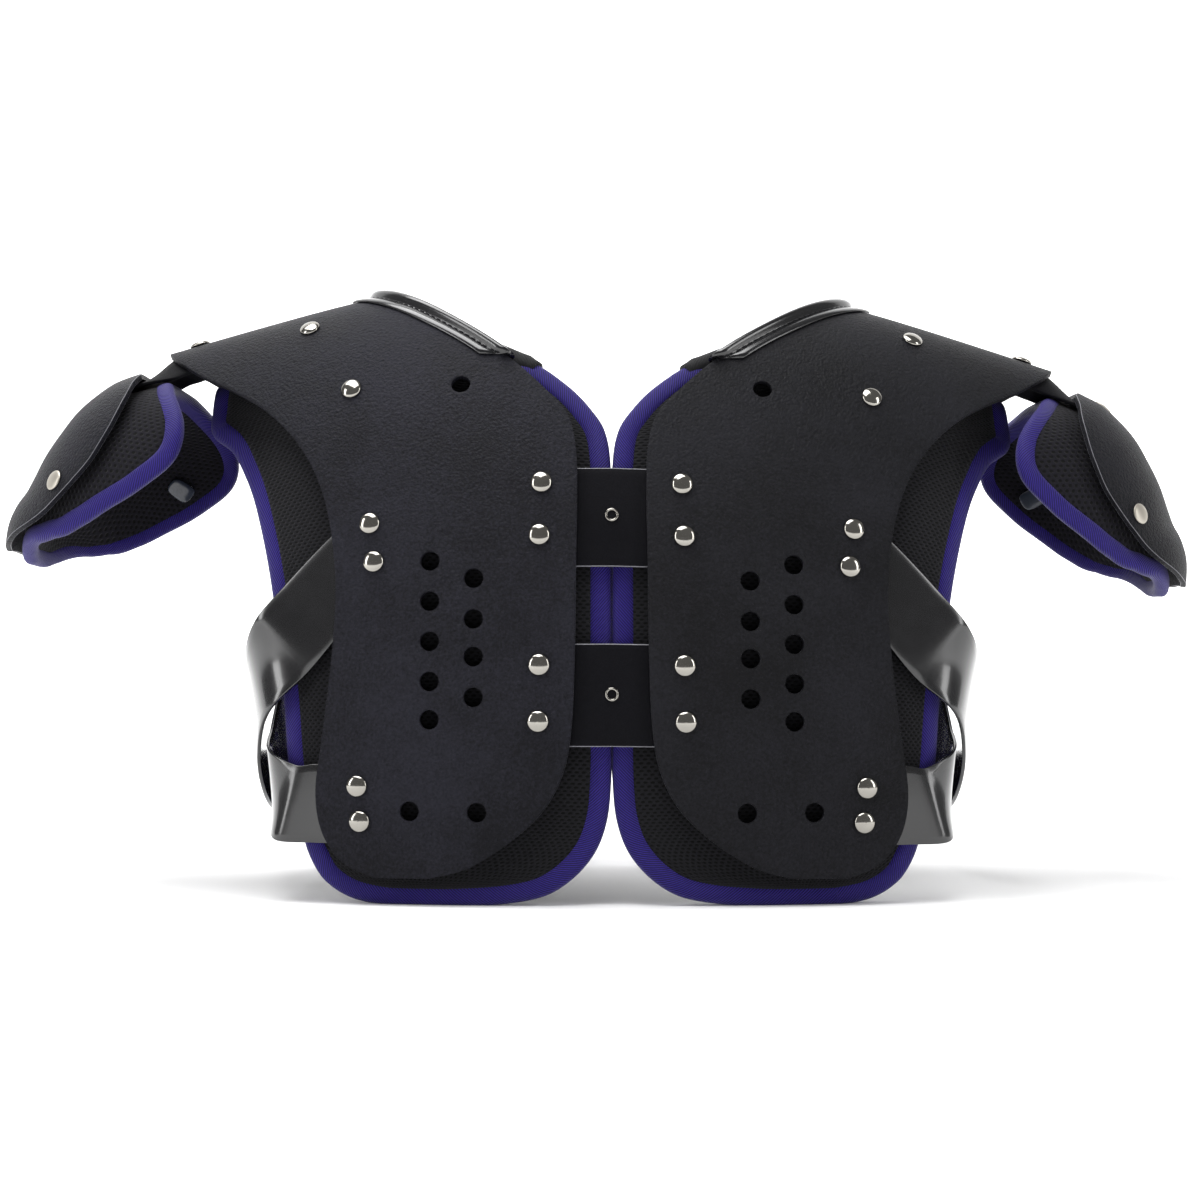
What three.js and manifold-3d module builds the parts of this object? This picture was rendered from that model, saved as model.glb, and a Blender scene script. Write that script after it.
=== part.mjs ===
// A pair of joined football shoulder pads, standing on the lower edges of its four padded panels.
// On each shoulder an arch plate bridges from chest to back over a mesh covered body pad with a bound edge.
// Two centre straps join the halves at the chest and two at the back, and two stiff straps cross at each side.
// An epaulet, a cupped plate with its own bound pad, hangs from each shoulder end on a short strap.
// Millimetres, +Z up. The chest faces -Y and the neck opening lies on the centre line.
import * as THREE from "three";
import { mergeVertices } from "three/addons/utils/BufferGeometryUtils.js";
import Module from "manifold-3d";

const wasm = await Module();
wasm.setup();

// The arch form that plates, pads and straps share
const SHOULDER_REACH = 232; // from the centre line out to where the shoulder ends
const CREST_HEIGHT = 326; // of the shoulder crest at the neck
const CREST_FALL = 0.292; // millimetres that the crest drops for each millimetre outward
const FALL_START = 118; // distance out at which the crest begins to drop
const FALL_ROUND = 30; // length over which that drop sets in
const HALF_DEPTH = 118; // from the crest forward to the chest
const SIDE_WRAP = 44; // how far the chest curves back at the shoulder's reach
const RIGHT_LOWER = 9; // how much lower the right shoulder ends
const PAD_SINK = 15; // how far the body pad hangs clear below the shoulder end
const SINK_START = 0.65; // side at which it begins to do so
const SINK_END = 0.95;

// Walls and gaps
const GAP = 0.3;
const LAY_GAP = 0.8; // between a plate and the strap that lies under it
const PLATE_WALL = 3;
const STRAP_WALL = 2;
const PAD_WALL = 12;
const EPAULET_PAD_WALL = 10;
const PAD_EDGE_SHARE = 0.75; // thickness of a pad at its edge, as a share of its wall
const EDGE_GAP = 1.6; // between a pad and the bead round it
const BINDING_WIDTH = 10;
const BINDING_THICKNESS = 10;
const EPAULET_BINDING_THICKNESS = 8;
const ROLL_WIDTH = 14; // of the soft neck roll
const ROLL_THICKNESS = 13;
const BEAD_SHOULDER = 0.35; // where a bead reaches its full thickness, as a share of its width
const FLOOR_PRESS = 1.5; // how much the bound edge is pressed flat where it stands

// Rivets, eyelets and vents
const RIVET_RADIUS = 5.5;
const RIVET_RISE = 2.6;
const SHANK_RADIUS = 1.6;
const TAIL_RADIUS = 4;
const TAIL_WALL = 1.2;
const EYELET_RADIUS = 3.6;
const EYELET_BORE_RADIUS = 2.2;
const BARREL_RADIUS = 2.8;
const EYELET_LIP = 0.8;
const VENT_RADIUS = 5;

// Straps
const CENTRE_STRAP_HEIGHT = 52;
const CENTRE_STRAP_REACH = 47; // from the centre line to the strap's end under a plate
const SIDE_STRAP_WIDTH = 40;
const SIDE_STRAP_LEAN = 0.1; // how far the top of a side strap stands out, for each millimetre of its height
const EPAULET_STRAP_WIDTH = 54;
const TAB_LENGTH = 15;
const TAB_WIDTH = 12;
const TAB_GAP = 0.9; // clear of the pad's face

// Neck trim, a channel pushed over the plate's neck edge
const TRIM_FLANGE = 14;
const TRIM_LEG = 7;
const TRIM_WALL = 1.2;
const TRIM_BEAD = 4; // how far it stands out past the edge, and up from the face
const TRIM_START = 0.67; // turn at which its front end lies

// Epaulets
const EPAULET_LENGTH = 120;
const EPAULET_RADIUS = 80; // of its cupped cross-section
const EPAULET_SWEEP = 1.016; // radians from its crest to its edge, where it is widest
const EPAULET_OUT = 13; // from the arch plate's end to the epaulet's upper end
const EPAULET_DOWN = 12;
const LEFT_DROOP = 52.8; // degrees below level
const RIGHT_DROOP = 61;
const LEFT_ROLL = 6.5; // degrees that its back edge is turned down

const HALVES = [
  { name: "left", hand: -1, lower: 0, droop: LEFT_DROOP, roll: LEFT_ROLL },
  { name: "right", hand: 1, lower: RIGHT_LOWER, droop: RIGHT_DROOP, roll: 0 },
];

// Depths below a plate's face, in the order in which the layers lie
const STRAP_INSET = PLATE_WALL + LAY_GAP;
const TAIL_INSET = STRAP_INSET + STRAP_WALL + LAY_GAP;
const PAD_INSET = TAIL_INSET + TAIL_WALL + GAP;

// Facets
const PLATE_COLUMNS = 3;
const PAD_COLUMNS = 3;
const EPAULET_COLUMNS = 8;
const EPAULET_PAD_COLUMNS = 6;
const SIDE_STRAP_COLUMNS = 2;
const CENTRE_STRAP_COLUMNS = 4;
const CENTRE_STRAP_ROWS = 3;
const EPAULET_STRAP_COLUMNS = 6;
const ROUND_SIDES = 8;
const SHANK_SIDES = 4;

// Edges of a plate or pad from its lower front end up to the crest, which the back repeats. side is a share of
// SHOULDER_REACH. turn runs from 0 at the lower front edge over 1 at the crest to 2 at the lower back edge.
// rows is the number of facet rows from there to the next section.
const PLATE_SECTIONS = [
  { innerSide: 0.4, innerTurn: 0.031, outerSide: 0.515, outerTurn: 0.031, rows: 1 },
  { innerSide: 0.315, innerTurn: 0.041, outerSide: 0.577, outerTurn: 0.043, rows: 1 },
  { innerSide: 0.225, innerTurn: 0.066, outerSide: 0.618, outerTurn: 0.063, rows: 1 },
  { innerSide: 0.15, innerTurn: 0.098, outerSide: 0.642, outerTurn: 0.09, rows: 1 },
  { innerSide: 0.106, innerTurn: 0.136, outerSide: 0.648, outerTurn: 0.125, rows: 1 },
  { innerSide: 0.087, innerTurn: 0.185, outerSide: 0.636, outerTurn: 0.17, rows: 2 },
  { innerSide: 0.08, innerTurn: 0.272, outerSide: 0.614, outerTurn: 0.26, rows: 2 },
  { innerSide: 0.078, innerTurn: 0.365, outerSide: 0.606, outerTurn: 0.345, rows: 2 },
  { innerSide: 0.076, innerTurn: 0.44, outerSide: 0.624, outerTurn: 0.43, rows: 2 },
  { innerSide: 0.079, innerTurn: 0.51, outerSide: 0.66, outerTurn: 0.5, rows: 1 },
  { innerSide: 0.098, innerTurn: 0.562, outerSide: 0.712, outerTurn: 0.562, rows: 1 },
  { innerSide: 0.146, innerTurn: 0.605, outerSide: 0.782, outerTurn: 0.628, rows: 2 },
  { innerSide: 0.235, innerTurn: 0.674, outerSide: 0.868, outerTurn: 0.697, rows: 2 },
  { innerSide: 0.385, innerTurn: 0.785, outerSide: 0.943, outerTurn: 0.763, rows: 2 },
  { innerSide: 0.5, innerTurn: 0.9, outerSide: 1.01, outerTurn: 0.87, rows: 2 },
  { innerSide: 0.548, innerTurn: 1, outerSide: 1.035, outerTurn: 1, rows: 0 },
];

const PAD_SECTIONS = [
  { innerSide: 0.36, innerTurn: 0, outerSide: 0.5, outerTurn: 0, rows: 1 },
  { innerSide: 0.22, innerTurn: 0.005, outerSide: 0.585, outerTurn: 0.008, rows: 1 },
  { innerSide: 0.13, innerTurn: 0.016, outerSide: 0.645, outerTurn: 0.025, rows: 1 },
  { innerSide: 0.057, innerTurn: 0.043, outerSide: 0.69, outerTurn: 0.052, rows: 1 },
  { innerSide: 0.016, innerTurn: 0.078, outerSide: 0.718, outerTurn: 0.09, rows: 1 },
  { innerSide: 0.0012, innerTurn: 0.13, outerSide: 0.735, outerTurn: 0.14, rows: 1 },
  { innerSide: 0.0007, innerTurn: 0.24, outerSide: 0.748, outerTurn: 0.24, rows: 1 },
  { innerSide: 0.0007, innerTurn: 0.37, outerSide: 0.766, outerTurn: 0.365, rows: 1 },
  { innerSide: 0.0007, innerTurn: 0.48, outerSide: 0.8, outerTurn: 0.485, rows: 1 },
  { innerSide: 0.0125, innerTurn: 0.547, outerSide: 0.845, outerTurn: 0.552, rows: 1 },
  { innerSide: 0.048, innerTurn: 0.592, outerSide: 0.889, outerTurn: 0.61, rows: 1 },
  { innerSide: 0.1, innerTurn: 0.638, outerSide: 0.957, outerTurn: 0.672, rows: 1 },
  { innerSide: 0.187, innerTurn: 0.697, outerSide: 0.96, outerTurn: 0.745, rows: 1 },
  { innerSide: 0.302, innerTurn: 0.752, outerSide: 0.96, outerTurn: 0.82, rows: 1 },
  { innerSide: 0.42, innerTurn: 0.84, outerSide: 0.96, outerTurn: 0.9, rows: 2 },
  { innerSide: 0.52, innerTurn: 1, outerSide: 0.96, outerTurn: 1, rows: 0 },
];
const NECK_TURN = 0.69; // turn at which the bound edge gives way to the neck roll

const VENTS = [
  { side: 0.397, turn: 0.365 },
  { side: 0.397, turn: 0.3185 },
  { side: 0.397, turn: 0.274 },
  { side: 0.397, turn: 0.231 },
  { side: 0.397, turn: 0.191 },
  { side: 0.301, turn: 0.344 },
  { side: 0.301, turn: 0.298 },
  { side: 0.301, turn: 0.257 },
  { side: 0.301, turn: 0.214 },
  { side: 0.44, turn: 0.098 },
  { side: 0.293, turn: 0.097 },
  { side: 0.336, turn: 0.617 },
];

const PANEL_RIVETS = [
  { name: "centre_1", side: 0.154, turn: 0.462 },
  { name: "centre_2", side: 0.158, turn: 0.395 },
  { name: "centre_3", side: 0.158, turn: 0.248 },
  { name: "centre_4", side: 0.16, turn: 0.189 },
  { name: "side_1", side: 0.532, turn: 0.416 },
  { name: "side_2", side: 0.522, turn: 0.368 },
  { name: "side_3", side: 0.556, turn: 0.124 },
  { name: "side_4", side: 0.55, turn: 0.088 },
  { name: "shoulder_1", side: 0.583, turn: 0.628 },
  { name: "shoulder_2", side: 0.692, turn: 0.825 },
];
const CREST_RIVET = { name: "crest", side: 0.965, turn: 1 };

const CENTRE_STRAPS = [
  { name: "upper", turn: 0.4215 },
  { name: "lower", turn: 0.217 },
];

// Stations along a side strap from chest to back. Where it lies on the arch form they give side and turn. Between
// chest and back it hangs free, and they give fore as a share of HALF_DEPTH and rise as a share of CREST_HEIGHT.
const SIDE_STRAPS = [
  {
    name: "upper",
    stations: [
      { side: 0.475, turn: 0.415 },
      { side: 0.53, turn: 0.388 },
      { side: 0.6, turn: 0.354 },
      { side: 0.67, turn: 0.318 },
      { side: 0.735, turn: 0.282 },
      { side: 0.79, fore: -0.62, rise: 0.346 },
      { side: 0.81, fore: -0.36, rise: 0.276 },
      { side: 0.814, fore: -0.04, rise: 0.212 },
      { side: 0.808, fore: 0.3, rise: 0.175 },
      { side: 0.79, fore: 0.6, rise: 0.16 },
      { side: 0.75, turn: 1.893 },
      { side: 0.67, turn: 1.894 },
      { side: 0.6, turn: 1.894 },
      { side: 0.53, turn: 1.894 },
      { side: 0.475, turn: 1.894 },
    ],
  },
  {
    name: "lower",
    stations: [
      { side: 0.48, turn: 0.106 },
      { side: 0.53, turn: 0.106 },
      { side: 0.6, turn: 0.106 },
      { side: 0.66, turn: 0.107 },
      { side: 0.725, turn: 0.109 },
      { side: 0.756, fore: -0.62, rise: 0.186 },
      { side: 0.76, fore: -0.36, rise: 0.222 },
      { side: 0.762, fore: -0.02, rise: 0.29 },
      { side: 0.77, fore: 0.3, rise: 0.352 },
      { side: 0.782, fore: 0.56, rise: 0.396 },
      { side: 0.76, turn: 1.722 },
      { side: 0.67, turn: 1.682 },
      { side: 0.6, turn: 1.646 },
      { side: 0.53, turn: 1.612 },
      { side: 0.475, turn: 1.585 },
    ],
  },
];

// The crest line of an epaulet from its upper end down, both as shares of EPAULET_LENGTH.
const EPAULET_CREST = [
  { along: -0.2, crest: -0.14 },
  { along: -0.1, crest: -0.07 },
  { along: 0, crest: 0 },
  { along: 0.1, crest: 0.065 },
  { along: 0.2, crest: 0.1 },
  { along: 0.3, crest: 0.122 },
  { along: 0.42, crest: 0.125 },
  { along: 0.55, crest: 0.118 },
  { along: 0.66, crest: 0.098 },
  { along: 0.72, crest: 0.088 },
  { along: 0.8, crest: 0.086 },
  { along: 0.88, crest: 0.068 },
  { along: 1, crest: 0 },
  { along: 1.1, crest: -0.07 },
];

// Sections of its plate and pad, with half their width as a share of EPAULET_SWEEP.
const EPAULET_SECTIONS = [
  { along: 0, spread: 0.377 },
  { along: 0.04, spread: 0.546 },
  { along: 0.1, spread: 0.736 },
  { along: 0.2, spread: 0.883 },
  { along: 0.3, spread: 0.969 },
  { along: 0.42, spread: 1 },
  { along: 0.55, spread: 0.969 },
  { along: 0.66, spread: 0.897 },
  { along: 0.72, spread: 0.852 },
  { along: 0.8, spread: 0.787 },
  { along: 0.88, spread: 0.648 },
  { along: 0.95, spread: 0.45 },
  { along: 1, spread: 0.185 },
];
const EPAULET_PAD_SECTIONS = [
  { along: -0.1, spread: 0.4 },
  { along: -0.05, spread: 0.84 },
  { along: 0.03, spread: 1.16 },
  { along: 0.13, spread: 1.36 },
  { along: 0.25, spread: 1.43 },
  { along: 0.4, spread: 1.37 },
  { along: 0.55, spread: 1.24 },
  { along: 0.67, spread: 1.1 },
  { along: 0.78, spread: 0.92 },
  { along: 0.87, spread: 0.75 },
  { along: 0.96, spread: 0.5 },
  { along: 1.05, spread: 0.17 },
];
const EPAULET_TOP_RIVET = { name: "epaulet_top", along: 0.12, sweep: 0 };
const EPAULET_FRONT_RIVET = { name: "epaulet_front", along: 0.585, sweep: -0.83 };
const STRAP_SIDES = [0.885, 0.965, 1.03]; // of the epaulet strap under the arch plate
const STRAP_ALONGS = [0, 0.1, 0.15, 0.24]; // and under the epaulet plate
const TAB_SPOT = { along: 0.34, sweep: 1.12 };

const MATERIALS = {
  plate: new THREE.MeshStandardMaterial({ color: 0x2c2c31, roughness: 0.55, metalness: 0 }),
  mesh: new THREE.MeshStandardMaterial({ color: 0x131315, roughness: 0.95, metalness: 0 }),
  binding: new THREE.MeshStandardMaterial({ color: 0x36268f, roughness: 0.8, metalness: 0 }),
  roll: new THREE.MeshStandardMaterial({ color: 0x1e1e21, roughness: 0.9, metalness: 0 }),
  gloss: new THREE.MeshStandardMaterial({ color: 0x121214, roughness: 0.2, metalness: 0 }),
  strap: new THREE.MeshStandardMaterial({ color: 0x18181b, roughness: 0.55, metalness: 0 }),
  nickel: new THREE.MeshStandardMaterial({ color: 0xb9b9b4, roughness: 0.25, metalness: 1 }),
};

const QUARTER = Math.PI / 2;
const STEP = 1e-3; // of a surface's coordinates, for slopes
const WELD = 1e-4;
const range = (count) => Array.from({ length: count }, (_, i) => i);

// Slopes of a surface by its two coordinates, and their cross product's unit vector.
function slopesOf(place, u, v) {
  const byU = place(u + STEP, v).sub(place(u - STEP, v)).divideScalar(2 * STEP);
  const byV = place(u, v + STEP).sub(place(u, v - STEP)).divideScalar(2 * STEP);
  return { byU, byV, cross: byU.clone().cross(byV).normalize() };
}

// Points below a surface, by its two coordinates and a depth. hand is 1 where the cross product points out of it.
const shellOf = (place, hand) => (u, v, inset) =>
  place(u, v).addScaledVector(slopesOf(place, u, v).cross, -hand * inset);

// The arch form, by side and turn.
const archOf = (half) => {
  const place = (side, turn) => {
    const x = side * SHOULDER_REACH;
    const past = x - FALL_START;
    const fall = (CREST_FALL * (past + Math.hypot(past, FALL_ROUND))) / 2 + half.lower * side;
    const rise = Math.sin(turn * QUARTER);
    const depth = (HALF_DEPTH - SIDE_WRAP * side * side) * Math.sqrt(Math.max(0, 1 - rise ** 3));
    return new THREE.Vector3(half.hand * x, turn < 1 ? -depth : depth, (CREST_HEIGHT - fall) * rise);
  };
  return shellOf(place, half.hand);
};

// The same form with its shoulder end lowered, where the body pad hangs clear of the plate.
const sunkOf = (half) => {
  const arch = archOf(half);
  const sink = (side) => PAD_SINK * THREE.MathUtils.smoothstep(side, SINK_START, SINK_END);
  const place = (side, turn) => arch(side, turn, sink(side));
  return shellOf(place, half.hand);
};

// The epaulet's cupped surface, whose coordinates are along and sweep, the angle from its crest line.
function epauletOf(half) {
  const droop = THREE.MathUtils.degToRad(half.droop);
  const roll = THREE.MathUtils.degToRad(half.roll);
  const down = new THREE.Vector3(half.hand * Math.cos(droop), 0, -Math.sin(droop));
  const out = new THREE.Vector3(half.hand * Math.sin(droop), 0, Math.cos(droop));
  const back = new THREE.Vector3(0, 1, 0);
  const up = out.clone().multiplyScalar(Math.cos(roll)).addScaledVector(back, Math.sin(roll));
  const across = back.clone().multiplyScalar(Math.cos(roll)).addScaledVector(out, -Math.sin(roll));
  const root = archOf(half)(PLATE_SECTIONS.at(-1).outerSide, 1, 0);
  root.add(new THREE.Vector3(half.hand * EPAULET_OUT, 0, -EPAULET_DOWN));
  const [alongs, crests] = ["along", "crest"].map((column) => EPAULET_CREST.map((row) => row[column]));
  const crestAt = new THREE.CubicInterpolant(alongs, crests, 1);
  const place = (along, sweep) => {
    const crest = crestAt.evaluate(along)[0] * EPAULET_LENGTH;
    return root
      .clone()
      .addScaledVector(down, along * EPAULET_LENGTH)
      .addScaledVector(across, EPAULET_RADIUS * Math.sin(sweep))
      .addScaledVector(up, crest - EPAULET_RADIUS * (1 - Math.cos(sweep)));
  };
  return shellOf(place, half.hand);
}

// Slopes of a shell at a spot and depth, and its outward normal.
function slopesOn(surface, [u, v], inset) {
  const { byU, byV, cross } = slopesOf((a, b) => surface(a, b, inset), u, v);
  const outward = surface(u, v, inset - 1).sub(surface(u, v, inset));
  return { byU, byV, normal: cross.multiplyScalar(Math.sign(cross.dot(outward))) };
}

// The spot reached by sliding over a surface by a vector, in a few short moves.
function slideOn(surface, spot, move, inset) {
  const moves = 3;
  return range(moves).reduce(([u, v]) => {
    const { byU, byV } = slopesOn(surface, [u, v], inset);
    const [uu, uv, vv] = [byU.dot(byU), byU.dot(byV), byV.dot(byV)];
    const [mu, mv] = [byU.dot(move) / moves, byV.dot(move) / moves];
    const whole = uu * vv - uv * uv;
    return [u + (vv * mu - uv * mv) / whole, v + (uu * mv - uv * mu) / whole];
  }, spot);
}

function seatOn(surface, [u, v]) {
  return { at: surface(u, v, 0), normal: slopesOn(surface, [u, v], 0).normal };
}

const between = (a, b, share) => [a[0] + (b[0] - a[0]) * share, a[1] + (b[1] - a[1]) * share];
const mirrored = ([side, turn]) => [side, 2 - turn];
const spotOf = (place) => [place.side ?? place.along, place.turn ?? place.sweep];

// Both edges of a table of sections from front to back, with a smooth curve through its spots.
function edgesOf(sections) {
  const counts = sections.slice(0, -1).map((section) => section.rows);
  const last = 2 * counts.length;
  const splits = [...counts, ...counts.toReversed()];
  const shares = [...splits.flatMap((count, i) => range(count).map((k) => (i + k / count) / last)), 1];
  const smooth = (front) => {
    const spots = [...front, ...front.slice(0, -1).reverse().map(mirrored)];
    const curve = new THREE.SplineCurve(spots.map(([side, turn]) => new THREE.Vector2(side, turn)));
    return shares.map((share) => curve.getPoint(share).toArray());
  };
  return {
    inner: smooth(sections.map((section) => [section.innerSide, section.innerTurn])),
    outer: smooth(sections.map((section) => [section.outerSide, section.outerTurn])),
  };
}

function signedVolume(points, triangles) {
  return range(triangles.length / 3).reduce((sum, i) => {
    const [a, b, c] = triangles.slice(3 * i, 3 * i + 3).map((index) => points[index]);
    return sum + a.dot(b.clone().cross(c));
  }, 0);
}

// A closed geometry whose faces point out, whichever hand it was made on.
function closedGeometry(points, triangles) {
  const facing = signedVolume(points, triangles) < 0 ? triangles.toReversed() : triangles;
  const geometry = new THREE.BufferGeometry();
  geometry.setAttribute("position", new THREE.Float32BufferAttribute(points.flatMap((p) => p.toArray()), 3));
  return geometry.setIndex(facing);
}

// A thick sheet between two grids of points: place(row, column, face) with face 0 outside and 1 inside.
function sheetGeometry(rows, columns, place) {
  const points = [];
  const triangles = [];
  const at = (face, row, column) => (face * (rows + 1) + row) * (columns + 1) + column;
  const quad = (a, b, c, d) => triangles.push(a, b, c, a, c, d);
  for (const face of [0, 1])
    for (const row of range(rows + 1))
      for (const column of range(columns + 1)) points.push(place(row, column, face));
  for (const row of range(rows)) {
    for (const column of range(columns)) {
      const [next, below] = [column + 1, row + 1];
      quad(at(0, row, column), at(0, row, next), at(0, below, next), at(0, below, column));
      quad(at(1, row, column), at(1, below, column), at(1, below, next), at(1, row, next));
    }
    quad(at(0, row, 0), at(0, row + 1, 0), at(1, row + 1, 0), at(1, row, 0));
    quad(at(0, row + 1, columns), at(0, row, columns), at(1, row, columns), at(1, row + 1, columns));
  }
  for (const column of range(columns)) {
    quad(at(0, 0, column + 1), at(0, 0, column), at(1, 0, column), at(1, 0, column + 1));
    quad(at(0, rows, column), at(0, rows, column + 1), at(1, rows, column + 1), at(1, rows, column));
  }
  return closedGeometry(points, triangles);
}

// A pad that thins toward its edges, between two lines of spots on a surface.
function padGeometry(surface, inner, outer, columns, wall) {
  const rows = inner.length - 1;
  const place = (row, column, face) => {
    const [u, v] = between(inner[row], outer[row], column / columns);
    const edge = column === 0 || column === columns || row === 0 || row === rows;
    const thickness = wall * (edge ? PAD_EDGE_SHARE : 1);
    return surface(u, v, PAD_INSET + wall / 2 + (face - 0.5) * thickness);
  };
  return sheetGeometry(rows, columns, place);
}

// A section swept through frames, as a ring or with flat ends. Its points are [inward, outward] from each frame.
function sweepGeometry(frames, section, ring) {
  const size = section.length;
  const points = frames.flatMap(({ at, inward, normal }) =>
    section.map(([a, b]) => at.clone().addScaledVector(inward, a).addScaledVector(normal, b)),
  );
  const triangles = [];
  for (const row of range(ring ? frames.length : frames.length - 1))
    for (const i of range(size)) {
      const next = ((row + 1) % frames.length) * size;
      const [a, b] = [row * size + i, row * size + ((i + 1) % size)];
      const [c, d] = [next + ((i + 1) % size), next + i];
      triangles.push(a, b, c, a, c, d);
    }
  if (!ring) {
    const outline = section.map(([a, b]) => new THREE.Vector2(a, b));
    const last = (frames.length - 1) * size;
    const clockwise = THREE.ShapeUtils.isClockWise(outline);
    for (const face of THREE.ShapeUtils.triangulateShape(outline, [])) {
      const [a, b, c] = clockwise ? face.toReversed() : face;
      triangles.push(c, b, a, last + a, last + b, last + c);
    }
  }
  return closedGeometry(points, triangles);
}

// A bead's section, flat toward the pad and rounded outward, from 0 at its outer rim to its width.
function beadSection(width, thickness, start = 0) {
  const half = thickness / 2;
  return [
    [start, 0],
    [start + width * BEAD_SHOULDER, half],
    [start + width, half],
    [start + width, -half],
    [start + width * BEAD_SHOULDER, -half],
  ];
}

// Frames along a closed line of spots: the point, the direction inward over the surface, and the outward normal.
function loopFrames(surface, loop, inset) {
  const points = loop.map(([u, v]) => surface(u, v, inset));
  const area = THREE.ShapeUtils.area(loop.map(([u, v]) => new THREE.Vector2(u, v)));
  return loop.map((spot, i) => {
    const run = points[(i + 1) % points.length].clone().sub(points[(i + points.length - 1) % points.length]);
    const { byU, byV, normal } = slopesOn(surface, spot, inset);
    const facing = Math.sign(area * byU.cross(byV).dot(normal));
    return { spot, at: points[i], inward: normal.clone().cross(run).setLength(1).multiplyScalar(facing), normal };
  });
}

function insetSpots(surface, frames, distance, inset) {
  return frames.map(({ spot, inward }) => slideOn(surface, spot, inward.clone().multiplyScalar(distance), inset));
}

function solidOf(geometry) {
  const plain = new THREE.BufferGeometry().setAttribute("position", geometry.getAttribute("position"));
  const merged = mergeVertices(plain.setIndex(geometry.index), WELD);
  const mesh = new wasm.Mesh({
    numProp: 3,
    vertProperties: merged.getAttribute("position").array,
    triVerts: new Uint32Array(merged.index.array),
  });
  return new wasm.Manifold(mesh);
}

function geometryFrom(solid) {
  const { vertProperties, triVerts } = solid.getMesh();
  const geometry = new THREE.BufferGeometry();
  geometry.setAttribute("position", new THREE.BufferAttribute(vertProperties, 3));
  return geometry.setIndex(new THREE.BufferAttribute(triVerts, 1));
}

function cut(geometry, cutters) {
  return geometryFrom(cutters.reduce((solid, cutter) => solid.subtract(solidOf(cutter)), solidOf(geometry)));
}

// Turns a piece made round +Y so that it stands on a seat.
function seatMatrix({ at, normal }) {
  const turn = new THREE.Quaternion().setFromUnitVectors(new THREE.Vector3(0, 1, 0), normal);
  return new THREE.Matrix4().compose(at, turn, new THREE.Vector3(1, 1, 1));
}

function drillAt(seat, radius, sides) {
  const length = 4 * TAIL_INSET;
  return new THREE.CylinderGeometry(radius, radius, length, sides).applyMatrix4(seatMatrix(seat));
}

function shankHoles(seats) {
  const radius = (SHANK_RADIUS + GAP) / Math.cos(Math.PI / SHANK_SIDES);
  return seats.map((seat) => drillAt(seat, radius, SHANK_SIDES));
}

function latheGeometry(outline, sides) {
  return new THREE.LatheGeometry(outline.map(([radius, height]) => new THREE.Vector2(radius, height)), sides);
}

// A rivet with its dome on the plate's face, at height 0, and its tail below the strap.
function rivetGeometry() {
  const outline = [
    [0, -TAIL_INSET - TAIL_WALL],
    [TAIL_RADIUS, -TAIL_INSET],
    [SHANK_RADIUS, -TAIL_INSET],
    [SHANK_RADIUS, GAP],
    [RIVET_RADIUS, GAP],
    [RIVET_RADIUS * 0.66, RIVET_RISE * 0.75],
    [0, RIVET_RISE],
  ];
  return latheGeometry(outline, ROUND_SIDES);
}

function eyeletGeometry() {
  const outline = [
    [EYELET_BORE_RADIUS, -STRAP_WALL],
    [BARREL_RADIUS, -STRAP_WALL],
    [BARREL_RADIUS, GAP],
    [EYELET_RADIUS, GAP],
    [EYELET_RADIUS, GAP + EYELET_LIP],
    [EYELET_BORE_RADIUS, GAP + EYELET_LIP],
    [EYELET_BORE_RADIUS, -STRAP_WALL],
  ];
  return latheGeometry(outline, ROUND_SIDES);
}

const stand = new THREE.Group(); // holds every piece, and is moved so that they stand centred at height 0

function addPiece(name, geometry, material) {
  const piece = new THREE.Mesh(geometry, material);
  piece.name = name;
  stand.add(piece);
  return piece;
}

function addArchPlate(half) {
  const arch = archOf(half);
  const { inner, outer } = edgesOf(PLATE_SECTIONS);
  const place = (row, column, face) =>
    arch(...between(inner[row], outer[row], column / PLATE_COLUMNS), face * PLATE_WALL);
  const sheet = sheetGeometry(inner.length - 1, PLATE_COLUMNS, place);
  const vents = VENTS.map((vent) => drillAt(seatOn(arch, spotOf(vent)), VENT_RADIUS, ROUND_SIDES));
  const shanks = shankHoles([...PANEL_RIVETS, CREST_RIVET].map((rivet) => seatOn(arch, spotOf(rivet))));
  addPiece("arch_plate_" + half.name, cut(sheet, [...vents, ...shanks]), MATERIALS.plate);
}

// The outline of the body pad as one loop, up its inner edge to the back and down its outer edge to the front.
function bodyLoop() {
  const { inner, outer } = edgesOf(PAD_SECTIONS);
  const ends = (a, b) => [1 / 3, 2 / 3].map((share) => between(a, b, share));
  const back = ends(inner.at(-1), outer.at(-1));
  const front = ends(outer[0], inner[0]);
  return { loop: [...inner, ...back, ...outer.toReversed(), ...front], rows: inner.length };
}

function addBodyPad(half) {
  const surface = sunkOf(half);
  const middle = PAD_INSET + PAD_WALL / 2;
  const { loop, rows } = bodyLoop();
  const spots = insetSpots(surface, loopFrames(surface, loop, middle), BINDING_WIDTH + EDGE_GAP, middle);
  const [inner, outer] = [spots.slice(0, rows), spots.slice(rows + 2, 2 * rows + 2).reverse()];
  const pad = padGeometry(surface, inner, outer, PAD_COLUMNS, PAD_WALL);
  addPiece("body_pad_" + half.name, pad, MATERIALS.mesh);
}

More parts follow.
